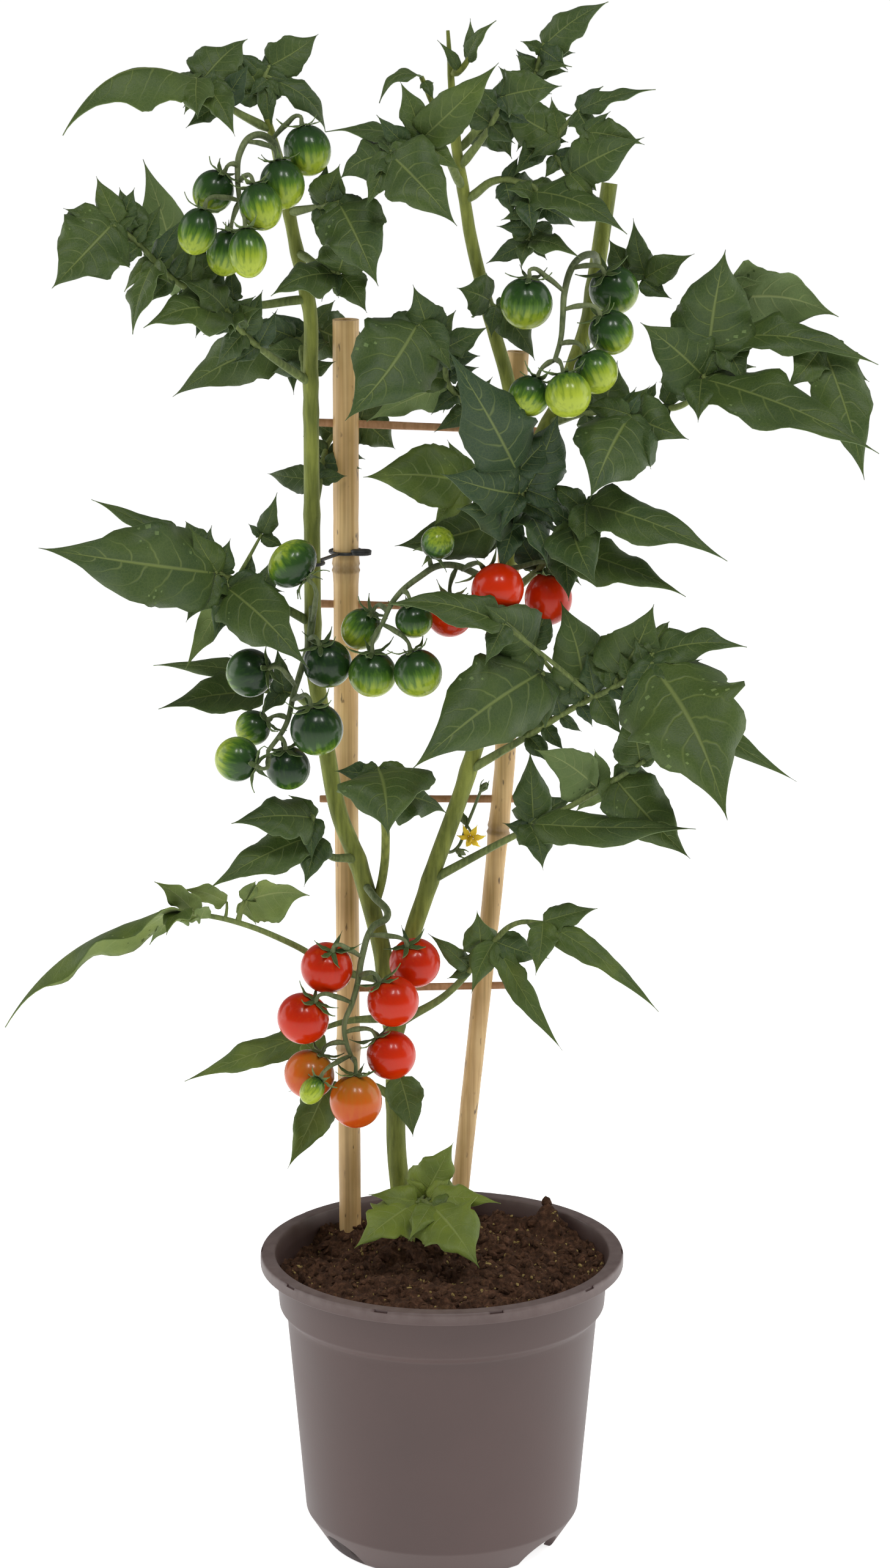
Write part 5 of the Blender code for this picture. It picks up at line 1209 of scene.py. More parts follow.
def add_fruit(skin, fruit, slot, rng):
    side, other, axis = fruit_frame(fruit)
    down = np.linspace(0, np.pi, FRUIT_RINGS)[1:-1, None]
    round_ = np.linspace(0, 2 * np.pi, FRUIT_SECTORS, endpoint=False)[None, :] + rng.uniform(0, 6)
    shoulder = np.clip(1 - down / 1.3, 0, 1)
    out = np.sin(down) * (1 + 0.025 * shoulder * np.cos(5 * round_)) * (1 + 0.012 * np.cos(2 * round_ + 1))
    up = np.cos(down) * fruit.height - 0.10 * np.exp(-(down / 0.28) ** 2) + 0 * round_
    globe = np.stack([out * np.cos(round_), out * np.sin(round_), up], axis=-1).reshape(-1, 3)
    poles = np.array([[0, 0, fruit.height - 0.13], [0, 0, -fruit.height]])
    globe = np.concatenate([globe, poles])
    points = np.array(fruit.centre) + fruit.radius * (
        globe[:, :1] * side + globe[:, 1:2] * other + globe[:, 2:] * axis)
    faces = ring_faces(FRUIT_RINGS - 2, FRUIT_SECTORS)
    scaled = globe / [1, 1, fruit.height]
    skin.patch(points, faces, scaled, fruit.tone + rng.uniform(-0.03, 0.03), slot)


print("points on a fruit:", (FRUIT_RINGS - 2) * FRUIT_SECTORS + 2)

# %% Calyx and fruit stalks
SEPALS = 5
SEPAL_WIDTH = 2.9


def add_calyx(skin, fruit, rng, slot):
    """Five sepals from under the fruit's stalk, lying on its shoulders and curling up at their tips."""
    side, other, axis = fruit_frame(fruit)
    seat = np.array(fruit.centre) + axis * (fruit.radius * fruit.height - 0.2)
    reach = 0.72 * fruit.radius + rng.uniform(2.5, 4.5)
    start = rng.uniform(0, 2 * np.pi)
    for number in range(SEPALS):
        angle = start + 2 * np.pi * number / SEPALS + rng.uniform(-0.2, 0.2)
        out = side * math.cos(angle) + other * math.sin(angle)
        long = reach * rng.uniform(0.85, 1.2)
        rise = rng.uniform(-0.5, 5.0)
        sepal = Blade(seat + out * 0.6 + axis * 0.4, seat + out * long + axis * rise, SEPAL_WIDTH, axis,
                      -0.6 - rise * 0.25, 0.25, 0.35, rng.uniform(-0.7, 0.7), -0.1, 0.0)
        add_blade(skin, sepal, rng, slot, slot + 1)


def fruit_line(fruit, stalk):
    axis = fruit_frame(fruit)[2]
    top = np.array(fruit.centre) + axis * (fruit.radius * fruit.height - 0.9)
    bend = top + axis * 5.0
    root = nearest_on(stalk[1:], bend)
    knee = (root + bend) / 2 + axis * 1.5
    if np.linalg.norm(root - bend) < 4:
        return [root, top + axis * 3.0, top], [1.1, 1.2, 1.5]
    return [root, knee, bend, top + axis * 2.2, top], [0.95, 1.5, 0.95, 1.1, 1.6]


print("sepals on each fruit:", SEPALS)

# %% Grow the trusses
for name, truss in TRUSSES.items():
    rng = np.random.default_rng(sum(map(ord, name)))
    start = on_stem(truss.stem, truss.height)[0]
    stalk = [start] + [np.array(point, float) for point in truss.stalk]
    thick = [STALK_FOOT - STALK_THINNING * i / (len(stalk) - 1) for i in range(len(stalk))]
    lines = [(stalk, thick)]
    skin = Skin()
    for fruit in truss.fruits:
        lines.append(fruit_line(fruit, stalk))
        add_calyx(skin, fruit, rng, 0)
        if not fruit.ripe:
            add_fruit(skin, fruit, 2, rng)
            continue
        ripe_skin = Skin()
        add_fruit(ripe_skin, fruit, 0, rng)
        orange = fruit.ripe in ORANGE_FRUIT
        finish = ORANGE_FINISH if orange else RIPE_FINISH
        ripe = place_mesh(f"{fruit.ripe}_grown", ripe_skin.mesh(fruit.ripe, [finish]))
        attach(ripe, "root")
        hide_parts(fruit.ripe)
    piece = grow(f"{name}_grown", skin, [LEAF_UPPER, LEAF_UNDER, UNRIPE_FINISH], lines, TRUSS_FINISH, 10, 1.2)
    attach(piece, "root")
    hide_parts(name)
print("trusses:", len(TRUSSES), "fruit:", sum(len(truss.fruits) for truss in TRUSSES.values()))

# %% [markdown]
# ## Flowers
# A new truss starts as a thin stalk with pointed buds. One flower is open: six bright yellow
# pointed petals, bent back, round a cone of anthers.

# %% Grow the flowers
FLOWER_STALK = ((-1, 32, 366), (7, 41, 364), (13, 42, 377), (20, 38, 396))
BUDS = (((20, 38, 396), (0.6, -0.3, 1)), ((13, 42, 377), (-0.6, 0.6, 1)), ((7, 41, 364), (1, 0.3, -0.6)))
BLOOM = ((15, 35, 372), (-0.2, -0.9, -0.3))
PETALS = 6
BUD_SEPALS, BUD_TURN = 3, 2.1  # a bud's sepals stand about a third of a turn apart

bloom_place, bloom_faces = np.array(BLOOM[0], float), unit(np.array(BLOOM[1], float))
rng = np.random.default_rng(5)
lines = [(FLOWER_STALK, [1.0, 0.9, 0.9, 0.8]),
         ([FLOWER_STALK[2], bloom_place - bloom_faces * 3, bloom_place], [0.7, 0.7, 1.0])]
green_skin = Skin()
for place, direction in BUDS:
    place, along = np.array(place, float), unit(np.array(direction, float))
    lines.append(([place, place + along * 2, place + along * 4.5, place + along * 6.5], [0.8, 1.9, 1.5, 0.3]))
    side = unit(np.cross(along, (0.0, 1.0, 0.1)))
    other = np.cross(along, side)
    for number in range(BUD_SEPALS):
        angle = BUD_TURN * number
        out = side * math.cos(angle) + other * math.sin(angle)
        sepal = Blade(place + along, place + along * 7 + out * 2.5, 2.2, out, 1.0, 0.3, 0.5)
        add_blade(green_skin, sepal, rng)
flower = grow("flower_truss_grown", green_skin, [LEAF_UPPER, LEAF_UNDER], lines, TRUSS_FINISH, 8, 1.0)
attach(flower, "root")
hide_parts("flower_truss")

side = unit(np.cross(bloom_faces, (0.0, 0.2, 1.0)))
other = np.cross(bloom_faces, side)
petals = Skin()
for number in range(PETALS):
    angle = 2 * np.pi * number / PETALS
    out = side * math.cos(angle) + other * math.sin(angle)
    petal = Blade(bloom_place + out, bloom_place + out * 8 - bloom_faces * 1.6, 3.4, bloom_faces, 0.8, 0.2,
                  0.5, 0.0, 0.1, 0.0)
    add_blade(petals, petal, rng, 0, 0)
anthers = [([bloom_place, bloom_place + bloom_faces * 2.5, bloom_place + bloom_faces * 5], [1.3, 1.2, 0.3])]
bloom = grow("bloom_grown", petals, [PETAL_FINISH], anthers, PETAL_FINISH, 8, 0.8)
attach(bloom, "root")
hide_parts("bloom")
print("buds:", len(BUDS), "petals:", PETALS)

# %% [markdown]
# ## The pot
# A nursery pot is one thin plastic shell: a turned-over rim, a plain upper band, a shoulder, a
# tapering wall and a floor raised on a foot. It is turned from its own profile, and the drain
# notches and the small slots under the rim are cut with Booleans. The slots are what the pot
# factory's stacking machine holds.

# %% Pot profile
POT_HEIGHT, RIM_RADIUS, RIM_INNER, RIM_DEPTH, WALL = 158.0, 95.0, 87.5, 6.5, 1.4
POT_SECTORS = 128
NOTCH_ANGLES = (55, 125, 235, 305)
RIM_SLOTS = 10
NOTCH_SIZE = (34, 31, 25)  # through the wall, along it, and upwards, half of it below the pot
NOTCH_RADIUS, NOTCH_SIDES = 66, 32
SLOT_SIZE = (2.2, 7, 1.8)
FIRST_SLOT = 17.0  # degrees from the front


def rounded(corners, radius, steps=3):
    """A polyline whose corners are cut back and rounded by arcs, apart from its ends."""
    line = [corners[0]]
    for before, corner, after in zip(corners, corners[1:], corners[2:]):
        before, corner, after = (np.array(p, float) for p in (before, corner, after))
        back = min(radius, 0.45 * np.linalg.norm(before - corner), 0.45 * np.linalg.norm(after - corner))
        start = corner + unit(before - corner) * back
        end = corner + unit(after - corner) * back
        for step in range(steps + 1):
            t = step / steps
            line.append(tuple((1 - t) ** 2 * start + 2 * t * (1 - t) * corner + t ** 2 * end))
    return line + [corners[-1]]


POT_PROFILE = rounded([
    (0, 10.4), (65.8, 10.4), (70.4, 17.6), (79.7, 122.5), (80.1, 127), (83.6, 131), (85.4, 150), (86.4, 154),
    (RIM_INNER, POT_HEIGHT), (RIM_RADIUS - 0.6, POT_HEIGHT), (RIM_RADIUS, POT_HEIGHT - 1.2),
    (RIM_RADIUS, POT_HEIGHT - RIM_DEPTH), (RIM_RADIUS - WALL, POT_HEIGHT - RIM_DEPTH),
    (RIM_RADIUS - WALL, POT_HEIGHT - 2.2), (RIM_INNER + WALL, POT_HEIGHT - 2.2), (86.9, 150), (85.2, 129.8),
    (81.7, 126.2), (81.2, 123), (72, 17), (61.8, 1.2), (60.5, 0), (56.5, 0), (64, 9), (0, 9)], 0.9)


def turned(profile, sectors):
    """A closed shell from a profile that starts and ends on the axis; its outer side runs downwards."""
    rings = [np.array(p, float) for p in profile[1:-1]]
    angles = np.linspace(0, 2 * np.pi, sectors, endpoint=False)
    points = [[r * math.cos(a), r * math.sin(a), z] for r, z in rings for a in angles]
    points += [[0, 0, profile[0][1]], [0, 0, profile[-1][1]]]
    return np.array(points, float), ring_faces(len(rings), sectors)


print("points of the pot's profile:", len(POT_PROFILE))

# %% Cutters
def cut(target, cutter):
    modifier = target.modifiers.new("cut", "BOOLEAN")
    modifier.operation = "DIFFERENCE"
    modifier.solver = "MANIFOLD"
    modifier.object = cutter
    bpy.context.view_layer.update()
    graph = bpy.context.evaluated_depsgraph_get()
    result = bpy.data.meshes.new_from_object(target.evaluated_get(graph))
    target.modifiers.clear()
    target.data = result
    bpy.data.objects.remove(cutter, do_unlink=True)


def cutter_at(angle, radius, height, size, corners):
    """A cutter of the given size in millimetres, lying across the pot's wall at an angle from the front."""
    bm = bmesh.new()
    bmesh.ops.create_cone(bm, cap_ends=True, segments=corners, radius1=0.5, radius2=0.5, depth=1)
    turn = math.radians(angle)
    outwards = Vector((math.sin(turn), -math.cos(turn), 0))
    sideways = Vector((math.cos(turn), math.sin(turn), 0))
    for vert in bm.verts:
        spin = Vector((vert.co.x, vert.co.y, 0))
        if corners == 4:
            spin = Vector((spin.x - spin.y, spin.x + spin.y, 0))
        vert.co = (outwards * (radius + vert.co.z * size[0]) + sideways * spin.x * size[1]
                   + Vector((0, 0, height + spin.y * size[2]))) * MM
    bmesh.ops.recalc_face_normals(bm, faces=bm.faces)
    mesh = bpy.data.meshes.new("cutter")
    bm.to_mesh(mesh)
    bm.free()
    return place_mesh("cutter", mesh)


print("cuts to make:", len(NOTCH_ANGLES) + RIM_SLOTS)

# %% Build the pot
points, faces = turned(POT_PROFILE, POT_SECTORS)
skin = Skin()
# The rim's share of painted highlight, stored in `tone` for the pot's material.
near_top = np.clip((points[:, 2] - 150) / 8, 0, 1)
painted_rim_light = near_top * np.clip((np.hypot(points[:, 0], points[:, 1]) - 86) / 2, 0, 1)
skin.patch(points, faces, points * 0, painted_rim_light * 0.7, 0)
pot = place_mesh("pot_moulded", skin.mesh("pot_moulded", [POT_FINISH]))
for angle in NOTCH_ANGLES:
    cut(pot, cutter_at(angle, NOTCH_RADIUS, 0, NOTCH_SIZE, NOTCH_SIDES))
for number in range(RIM_SLOTS):
    angle = FIRST_SLOT + 360 * number / RIM_SLOTS
    cut(pot, cutter_at(angle, RIM_RADIUS, POT_HEIGHT - 0.4, SLOT_SIZE, 4))
pot.data.shade_smooth()
pot.data.set_sharp_from_angle(angle=math.radians(38))
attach(pot, "root")
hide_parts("pot")
print("pot faces:", len(pot.data.polygons))

# %% [markdown]
# ## The soil
# The surface of potting soil is level only at a distance. It is a fine grid of rings, pushed up and
# down by a few mounds and by seeded noise. Loose crumbs and grit lie on it: another small tree of
# Geometry Nodes scatters some 1,650 knobbly grains over the surface, each turned and sized at
# random, and makes them real geometry at its end.

# %% Build the soil
MOUNDS = (  # place across and in depth, height, spread
    (-49, 50, 8, 14), (-20, 24, 9, 15), (8, 46, 5, 12),
    (57, 55, 13, 9), (30, -30, 3, 26), (-66, 30, -6, 16))
LUMPS = ((0.31, 0.13, 1.1, 1.1), (-0.17, 0.27, 0.4, 1.0), (0.06, -0.38, 2.3, 1.0), (-0.36, -0.14, 4.0, 0.8))
SOIL_LEVEL = 148.0
SOIL_RADIUS = 85.2
SOIL_BOTTOM = 118.0
SKIRT_SHARE = 0.92  # the hidden lower edge stands in from the pot's wall
SOIL_RINGS = 64
SOIL_SECTORS = 144
SOIL_SLOPE = 0.025  # the bed rises towards the right
SOIL_ROUGHNESS = 0.7
RIPPLES = ((11, 0.6), (7, 0.6), (4, 0.5))  # length and height of waves, each laid in four directions
OPEN_RADIUS, OPEN_HEIGHT = 84, 125  # crumbs lie inside the one and above the other
FULL_TURN = 6.28


def soil_height(x, y):
    level = SOIL_LEVEL + SOIL_SLOPE * x
    for mound_x, mound_y, height, spread in MOUNDS:
        level = level + height * np.exp(-((x - mound_x) ** 2 + (y - mound_y) ** 2) / spread ** 2)
    for across, deep, phase, height in LUMPS:
        level = level + height * np.sin(across * x + deep * y + phase)
    waves = np.random.default_rng(11)
    for size, share in RIPPLES:
        for _ in range(4):
            turn, phase = waves.uniform(0, 2 * np.pi, 2)
            along = x * math.cos(turn) + y * math.sin(turn)
            level = level + share * 0.5 * np.sin(along * FULL_TURN / size + phase)
    return level


radii = SOIL_RADIUS * np.sqrt(np.linspace(0, 1, SOIL_RINGS + 1)[1:])
angles = np.linspace(0, 2 * np.pi, SOIL_SECTORS, endpoint=False)
x = (radii[:, None] * np.cos(angles)).ravel()
y = (radii[:, None] * np.sin(angles)).ravel()
crumbs = np.random.default_rng(3).uniform(-SOIL_ROUGHNESS, SOIL_ROUGHNESS, len(x))
top = np.stack([x, y, soil_height(x, y) + crumbs], axis=1)
edge = top[-SOIL_SECTORS:].copy()
skirt = edge * [SKIRT_SHARE, SKIRT_SHARE, 0] + [0, 0, SOIL_BOTTOM]
middle = np.array([[0, 0, float(soil_height(np.array(0.0), np.array(0.0)))], [0, 0, SOIL_BOTTOM]])
points = np.concatenate([top, skirt, middle])
faces = ring_faces(SOIL_RINGS + 1, SOIL_SECTORS)
skin = Skin()
open_air = (np.hypot(points[:, 0], points[:, 1]) < OPEN_RADIUS) & (points[:, 2] > OPEN_HEIGHT)
skin.patch(points, faces, points * 0, open_air.astype(float), 0)
soil = place_mesh("soil_crumbly", skin.mesh("soil_crumbly", [PEAT_FINISH]))
print("soil faces:", len(soil.data.polygons))

# %% The crumb tree
def crumb_tree():
    """Knobbly grains, scattered over soil that is open to the air and joined to that surface."""
    tree = bpy.data.node_groups.new("crumbs_on_soil", "GeometryNodeTree")
    tree_input(tree, "Geometry", "NodeSocketGeometry")
    tree_input(tree, "Density", "NodeSocketFloat", 10000.0)
    tree_input(tree, "Seed", "NodeSocketInt", 1)
    tree_input(tree, "Smallest", "NodeSocketFloat", 0.8 * MM)
    tree_input(tree, "Largest", "NodeSocketFloat", 2.0 * MM)
    tree_input(tree, "Finish", "NodeSocketMaterial")
    tree.interface.new_socket("Geometry", in_out="OUTPUT", socket_type="NodeSocketGeometry")
    given = add(tree, "NodeGroupInput").outputs
    open_soil = add(tree, "GeometryNodeInputNamedAttribute", {"Name": "tone"}, data_type="FLOAT")
    bare = add(tree, "FunctionNodeCompare", {0: open_soil.outputs[0], 1: 0.95}, operation="GREATER_THAN")
    spots = add(tree, "GeometryNodeDistributePointsOnFaces", {
        "Mesh": given["Geometry"], "Selection": bare.outputs[0], "Density": given["Density"],
        "Seed": given["Seed"]})
    grain = add(tree, "GeometryNodeMeshIcoSphere", {"Radius": 1.0, "Subdivisions": 2}).outputs["Mesh"]
    wobble = add(tree, "ShaderNodeTexNoise", {"Scale": 1.3, "Detail": 2.0}).outputs["Color"]
    shifted = add(tree, "ShaderNodeVectorMath", {0: wobble, 1: (-0.5, -0.5, -0.5)},
                  operation="ADD").outputs[0]
    grain = add(tree, "GeometryNodeSetPosition", {"Geometry": grain, "Offset": shifted}).outputs[0]
    size = add(tree, "FunctionNodeRandomValue", {2: given["Smallest"], 3: given["Largest"], "Seed": 2},
               data_type="FLOAT").outputs[1]
    shape = add(tree, "FunctionNodeRandomValue", {0: (0.6, 0.6, 0.4), 1: (1.5, 1.0, 0.9), "Seed": 3},
                data_type="FLOAT_VECTOR").outputs[0]
    scale = add(tree, "ShaderNodeVectorMath", {0: shape, 3: size}, operation="SCALE").outputs[0]
    turn = add(tree, "FunctionNodeRandomValue", {0: (0, 0, 0), 1: (FULL_TURN,) * 3, "Seed": 4},
               data_type="FLOAT_VECTOR").outputs[0]
    grains = add(tree, "GeometryNodeInstanceOnPoints", {
        "Points": spots.outputs["Points"], "Instance": grain, "Rotation": turn, "Scale": scale}).outputs[0]
    real = add(tree, "GeometryNodeRealizeInstances", {"Geometry": grains}).outputs[0]
    dressed = add(tree, "GeometryNodeSetMaterial", {"Geometry": real, "Material": given["Finish"]}).outputs[0]
    joined = add(tree, "GeometryNodeJoinGeometry")
    tree.links.new(dressed, joined.inputs[0])
    tree.links.new(given["Geometry"], joined.inputs[0])
    add(tree, "NodeGroupOutput", {0: joined.outputs[0]})
    return tree


CRUMB_TREE = crumb_tree()
print("crumb tree:", [item.name for item in CRUMB_TREE.interface.items_tree])

# %% Scatter crumbs and grit
layers = [  # finish, grains to a square metre, seed, smallest and largest radius
    (CRUMB_FINISH, 26000.0, 7, 0.8, 2.6),
    (GRIT_FINISH, 9000.0, 19, 0.5, 1.1),
    (PEAT_FINISH, 5000.0, 31, 1.6, 4.2),
]
for finish, density, seed, smallest, largest in layers:
    run_tree(soil, CRUMB_TREE, Density=density, Seed=seed, Smallest=smallest * MM,
             Largest=largest * MM, Finish=finish)
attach(soil, "root")
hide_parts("soil")
print("soil with crumbs:", len(soil.data.polygons))

# %% [markdown]
# ## The bamboo ladder
# Two canes and four rungs. A cane is a tube with a swollen ring, a node, every 25 cm or so; its
# cut top shows that it is hollow. The rungs go right through both canes.

# %% Cane sizes
CANE_LEFT = [(-49, 46.5, 60), (-49, 48, 156), (-50, 51.5, 400), (-49, 55, 640)]
CANE_LEFT_RADII = [5.7, 5.8, 6.3, 6.8]
CANE_LEFT_NODES = (255, 512)
CANE_RIGHT = [(-1, 46, 45), (8, 48, 159), (26, 52, 332), (33, 54, 408), (35, 57, 562), (39, 58, 623)]
CANE_RIGHT_RADII = [4.4, 4.6, 5.1, 5.4, 5.6, 5.6]
CANE_RIGHT_NODES = (372,)
RUNG_RADIUS = 2.0
RUNGS = {
    "rung_top": [(-66, 55, 587), (51, 57, 582)],
    "rung_upper": [(-63, 55, 492), (50, 56, 489)],
    "rung_middle": [(-64, 54, 388), (48, 54, 388)],
    "rung_low": [(-60, 52, 285), (36, 52, 287)],
}
NODE_SHAPE = ((-9, 0.0, 0.0), (-3.2, 0.35, 0.4), (-1.8, 0.95, 1.0), (-0.6, 0.35, 1.0), (0.4, 0.3, 1.0),
              (1.6, 0.85, 0.8), (4, 0.4, 0.3), (10, 0.0, 0.0))  # reach, swelling, stain
RING_STEP, NODE_CLEARANCE = 9.0, 12  # plain rings stand this far apart, and this far from a node
CANE_SIDES, RUNG_SIDES = 28, 16
HOLLOW_DEPTH, HOLLOW_SHARE = 9, 0.5  # the hole in a cane's cut top, and its share of the cane's radius
print("canes: 2 rungs:", len(RUNGS))

# %% A tube of rings
def ring_tube(skin, centres, radii, stains, sides):
    """A tube of rings whose frames turn as little as they can, closed at both ends."""
    centres = [np.array(centre, float) for centre in centres]
    side = None
    rings = []
    for number, centre in enumerate(centres):
        ahead = centres[min(number + 1, len(centres) - 1)] - centres[max(number - 1, 0)]
        ahead = unit(ahead)
        if side is None:
            side = unit(np.cross(ahead, (0.3, 1.0, 0.1)))
        side = unit(side - ahead * side.dot(ahead))
        other = np.cross(ahead, side)
        turns = np.linspace(0, 2 * np.pi, sides, endpoint=False)[:, None]
        rings.append(centre + radii[number] * (side * np.cos(turns) + other * np.sin(turns)))
    points = np.concatenate(rings + [centres[0][None], centres[-1][None]])
    faces = ring_faces(len(rings), sides, flip=True)
    tone = np.concatenate([np.repeat(stains, sides), [stains[0], stains[-1]]])
    skin.patch(points, faces, points * 0, tone, 0)


sample = Skin()
ring_tube(sample, [(0, 0, 0), (0, 0, 10)], [1, 1], [0, 0], RUNG_SIDES)
print("faces of a plain tube:", len(sample.faces))

# %% Build the canes
def cane(name, points, radii, nodes):
    knots = [(np.array(point, float), radius) for point, radius in zip(points, radii)]
    rng = np.random.default_rng(len(name) + len(points))
    heights = np.arange(points[0][2], points[-1][2], RING_STEP)
    heights = [h for h in heights if all(abs(h - node) > NODE_CLEARANCE for node in nodes)]
    stations = [(h, 0.0, 0.0) for h in heights]
    for node in nodes:
        stations += [(node + reach, swelling, stain) for reach, swelling, stain in NODE_SHAPE]
    stations.sort()
    centres, sizes, stains = [], [], []
    for height, swelling, stain in stations:
        for (low, thin), (high, thick) in zip(knots, knots[1:]):
            if low[2] <= height <= high[2]:
                t = (height - low[2]) / (high[2] - low[2])
                centres.append(low + (high - low) * t)
                sizes.append(thin + (thick - thin) * t + swelling + rng.uniform(-0.08, 0.08))
                stains.append(stain)
                break
    end, wide = knots[-1]
    centres.append(end)
    sizes.append(wide)
    stains.append(0.25)
    skin = Skin()
    ring_tube(skin, centres, sizes, stains, CANE_SIDES)
    made = place_mesh(f"{name}_bamboo", skin.mesh(name, [BAMBOO_FINISH]))
    hole = Skin()
    ring_tube(hole, [end - [0, 0, HOLLOW_DEPTH], end + [0, 0, 3]], [wide * HOLLOW_SHARE] * 2, [0.8, 0.8], 20)
    cut(made, place_mesh("hole", hole.mesh("hole", [BAMBOO_FINISH])))
    made.data.shade_smooth()
    made.data.set_sharp_from_angle(angle=math.radians(50))
    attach(made, "root")
    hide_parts(name)
    return made


for name, points, radii, nodes in (("cane_left", CANE_LEFT, CANE_LEFT_RADII, CANE_LEFT_NODES),
                                   ("cane_right", CANE_RIGHT, CANE_RIGHT_RADII, CANE_RIGHT_NODES)):
    print(name, "faces:", len(cane(name, points, radii, nodes).data.polygons))

# %% Build the rungs
for name, (left, right) in RUNGS.items():
    left, right = np.array(left, float), np.array(right, float)
    along = unit(right - left)
    steps = np.linspace(0, np.linalg.norm(right - left), 12)
    rng = np.random.default_rng(len(name))
    centres = [left + along * step for step in steps]
    sizes = [RUNG_RADIUS + rng.uniform(-0.12, 0.12) for _ in steps]
    centres = [left] + [left + along * 0.5] + centres[1:-1] + [right - along * 0.5, right]
    sizes = [RUNG_RADIUS * 0.8] + sizes + [RUNG_RADIUS * 0.8]
    skin = Skin()
    ring_tube(skin, centres, sizes, [0.3] + [0.0] * (len(centres) - 2) + [0.3], RUNG_SIDES)
    rung = place_mesh(f"{name}_cane", skin.mesh(name, [RUNG_FINISH]))
    rung.data.set_sharp_from_angle(angle=math.radians(50))
    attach(rung, "root")
    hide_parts(name)
print("rungs:", len(RUNGS))

# %% [markdown]
# ## The plant tie
# A black nylon clip holds the left leader to its cane: a wire ring round each, a short strap, and
# an oval catch. Rings and strap are stalk-like tubes, so they are made by the same tree.

# %% Build the tie
TIE_HEIGHT = 520.0
TIE_WIRE = 0.9
CANE_RING, STEM_RING = 8.2, 5.8
STRAP_FROM_CANE, STRAP_FROM_STEM = 8.4, 6.0  # from the centre of each to the strap's end
CATCH_PLACE = (-41.5, 45.6)
CATCH_RINGS = ((-1.6, 4.2), (-1.3, 5.2), (0.9, 5.4), (1.5, 4.4))  # height, radius
CATCH_DEPTH = 0.5  # the catch is oval, half as deep as it is wide


def ring_line(centre, radius, points=16):
    turns = np.linspace(0, 2 * np.pi, points + 1)
    ring = [centre + [radius * math.cos(turn), radius * math.sin(turn), 0] for turn in turns]
    return ring, [TIE_WIRE] * len(ring)


stem_centre = on_stem("left", TIE_HEIGHT)[0]
low, high = np.array(CANE_LEFT[2], float), np.array(CANE_LEFT[3], float)
cane_centre = low + (high - low) * (TIE_HEIGHT - low[2]) / (high[2] - low[2])
along = unit(stem_centre - cane_centre)
strap = [cane_centre + along * STRAP_FROM_CANE, stem_centre - along * STRAP_FROM_STEM]
catch = Skin()
head = np.array([*CATCH_PLACE, TIE_HEIGHT + 1.0])
centres = [head + [0, 0, height] for height, radius in CATCH_RINGS]
ring_tube(catch, centres, [radius for height, radius in CATCH_RINGS], [0.0] * len(CATCH_RINGS), 24)
catch.points[-1][:, 1] = head[1] + (catch.points[-1][:, 1] - head[1]) * CATCH_DEPTH
tie_lines = [ring_line(cane_centre, CANE_RING), ring_line(stem_centre, STEM_RING), (strap, [1.0, 1.0])]
tie = grow("plant_tie_clip", catch, [TIE_FINISH], tie_lines, TIE_FINISH, 8, 1.5)
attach(tie, "root")
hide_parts("plant_tie")
print("tie faces:", len(tie.data.polygons))

# %% [markdown]
# ## Floor and light
# A curved paper wall behind the plant is the usual studio backdrop, but it hides the plant from behind.
# Here a wide flat floor glows a little and the world is white to the camera, so no horizon and hardly a
# shadow shows from any side. Two large soft lights at the sides give a round thing lighter edges than
# its middle, and two small lamps high in front leave two narrow highlights on each fruit. The lights
# themselves are hidden from the camera.

# %% Studio floor
def studio_floor():
    made, tree, shader = new_finish("studio_paper", Roughness=0.9, Specular_IOR_Level=0.1,
                                    Emission_Strength=0.8)
    shader.inputs["Emission Color"].default_value = (1, 1, 1, 1)
    place = add(tree, "ShaderNodeTexCoord").outputs["Object"]
    cloud = add(tree, "ShaderNodeTexNoise", {"Vector": place, "Scale": 3.0}).outputs["Fac"]
    colour = add(tree, "ShaderNodeValToRGB", {0: cloud}, stops=[(0.0, "#f6f6f5"), (1.0, "#fafaf9")])
    tree.links.new(colour.outputs["Color"], shader.inputs["Base Color"])
    return made


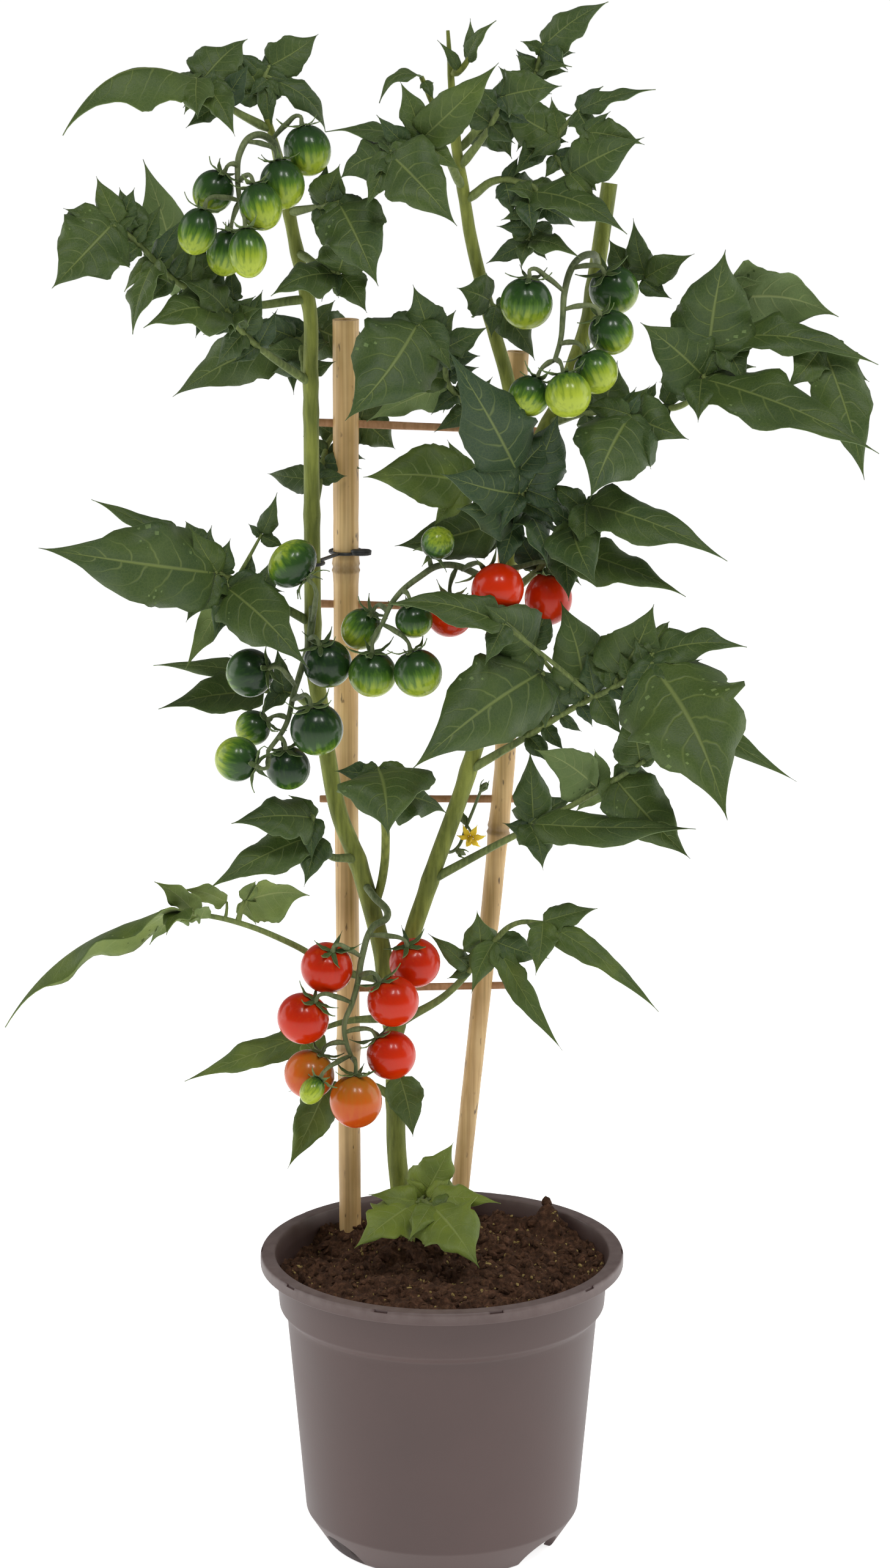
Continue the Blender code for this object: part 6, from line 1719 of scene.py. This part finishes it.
FLOOR_REACH = 16.0  # metres each way, so that its edge is far outside every view
floor_mesh = bpy.data.meshes.new("studio_floor")
corners = [(-1, -1), (1, -1), (1, 1), (-1, 1)]
floor_mesh.from_pydata([(x * FLOOR_REACH, y * FLOOR_REACH, 0) for x, y in corners], [], [[0, 1, 2, 3]])
floor_mesh.materials.append(studio_floor())
floor = place_mesh("studio_floor", floor_mesh)
print("floor reaches:", FLOOR_REACH)

# %% Studio lights
LIGHT_AIM = (0, 0, 0.45)


def soft_light(name, place, size, power):
    lamp = bpy.data.lights.new(name, "AREA")
    lamp.shape = "RECTANGLE"
    lamp.size, lamp.size_y = size
    lamp.energy = power
    made = bpy.data.objects.new(name, lamp)
    scene.collection.objects.link(made)
    made.location = place
    made.visible_camera = False
    made.rotation_euler = (Vector(LIGHT_AIM) - Vector(place)).to_track_quat("-Z", "Y").to_euler()
    return made


LAMP_SIZE, LAMP_WATTS = (0.3, 0.7), 16
WALL_SIZE, WALL_WATTS = (1.6, 2.0), 20
UNSEEN_GLOW, SEEN_GLOW = 0.22, 1.0  # the world's strength for bounced light, and as the camera sees it
soft_light("front_lamp", (-0.2, -1.5, 2.7), LAMP_SIZE, LAMP_WATTS)
soft_light("right_lamp", (0.8, -1.4, 2.6), LAMP_SIZE, LAMP_WATTS)
soft_light("left_wall", (-1.9, 0.25, 1.0), WALL_SIZE, WALL_WATTS)
soft_light("right_wall", (1.9, 0.25, 1.0), WALL_SIZE, WALL_WATTS)
scene.world = bpy.data.worlds.new("studio_glow")
scene.world.use_nodes = True
glow = scene.world.node_tree.nodes["Background"]
seen = add(scene.world.node_tree, "ShaderNodeLightPath").outputs["Is Camera Ray"]
strength = add(scene.world.node_tree, "ShaderNodeMapRange",
               {0: seen, 3: UNSEEN_GLOW, 4: SEEN_GLOW}).outputs[0]
scene.world.node_tree.links.new(strength, glow.inputs["Strength"])
glow.inputs["Color"].default_value = (1, 1, 1, 1)
scene.view_settings.view_transform = "Standard"
print("lights: 4")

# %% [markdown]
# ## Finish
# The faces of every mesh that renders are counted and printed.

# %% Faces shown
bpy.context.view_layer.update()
shown = [item for item in bpy.data.objects if item.type == "MESH" and not item.hide_render]
print("faces shown:", sum(len(item.data.polygons) for item in shown))
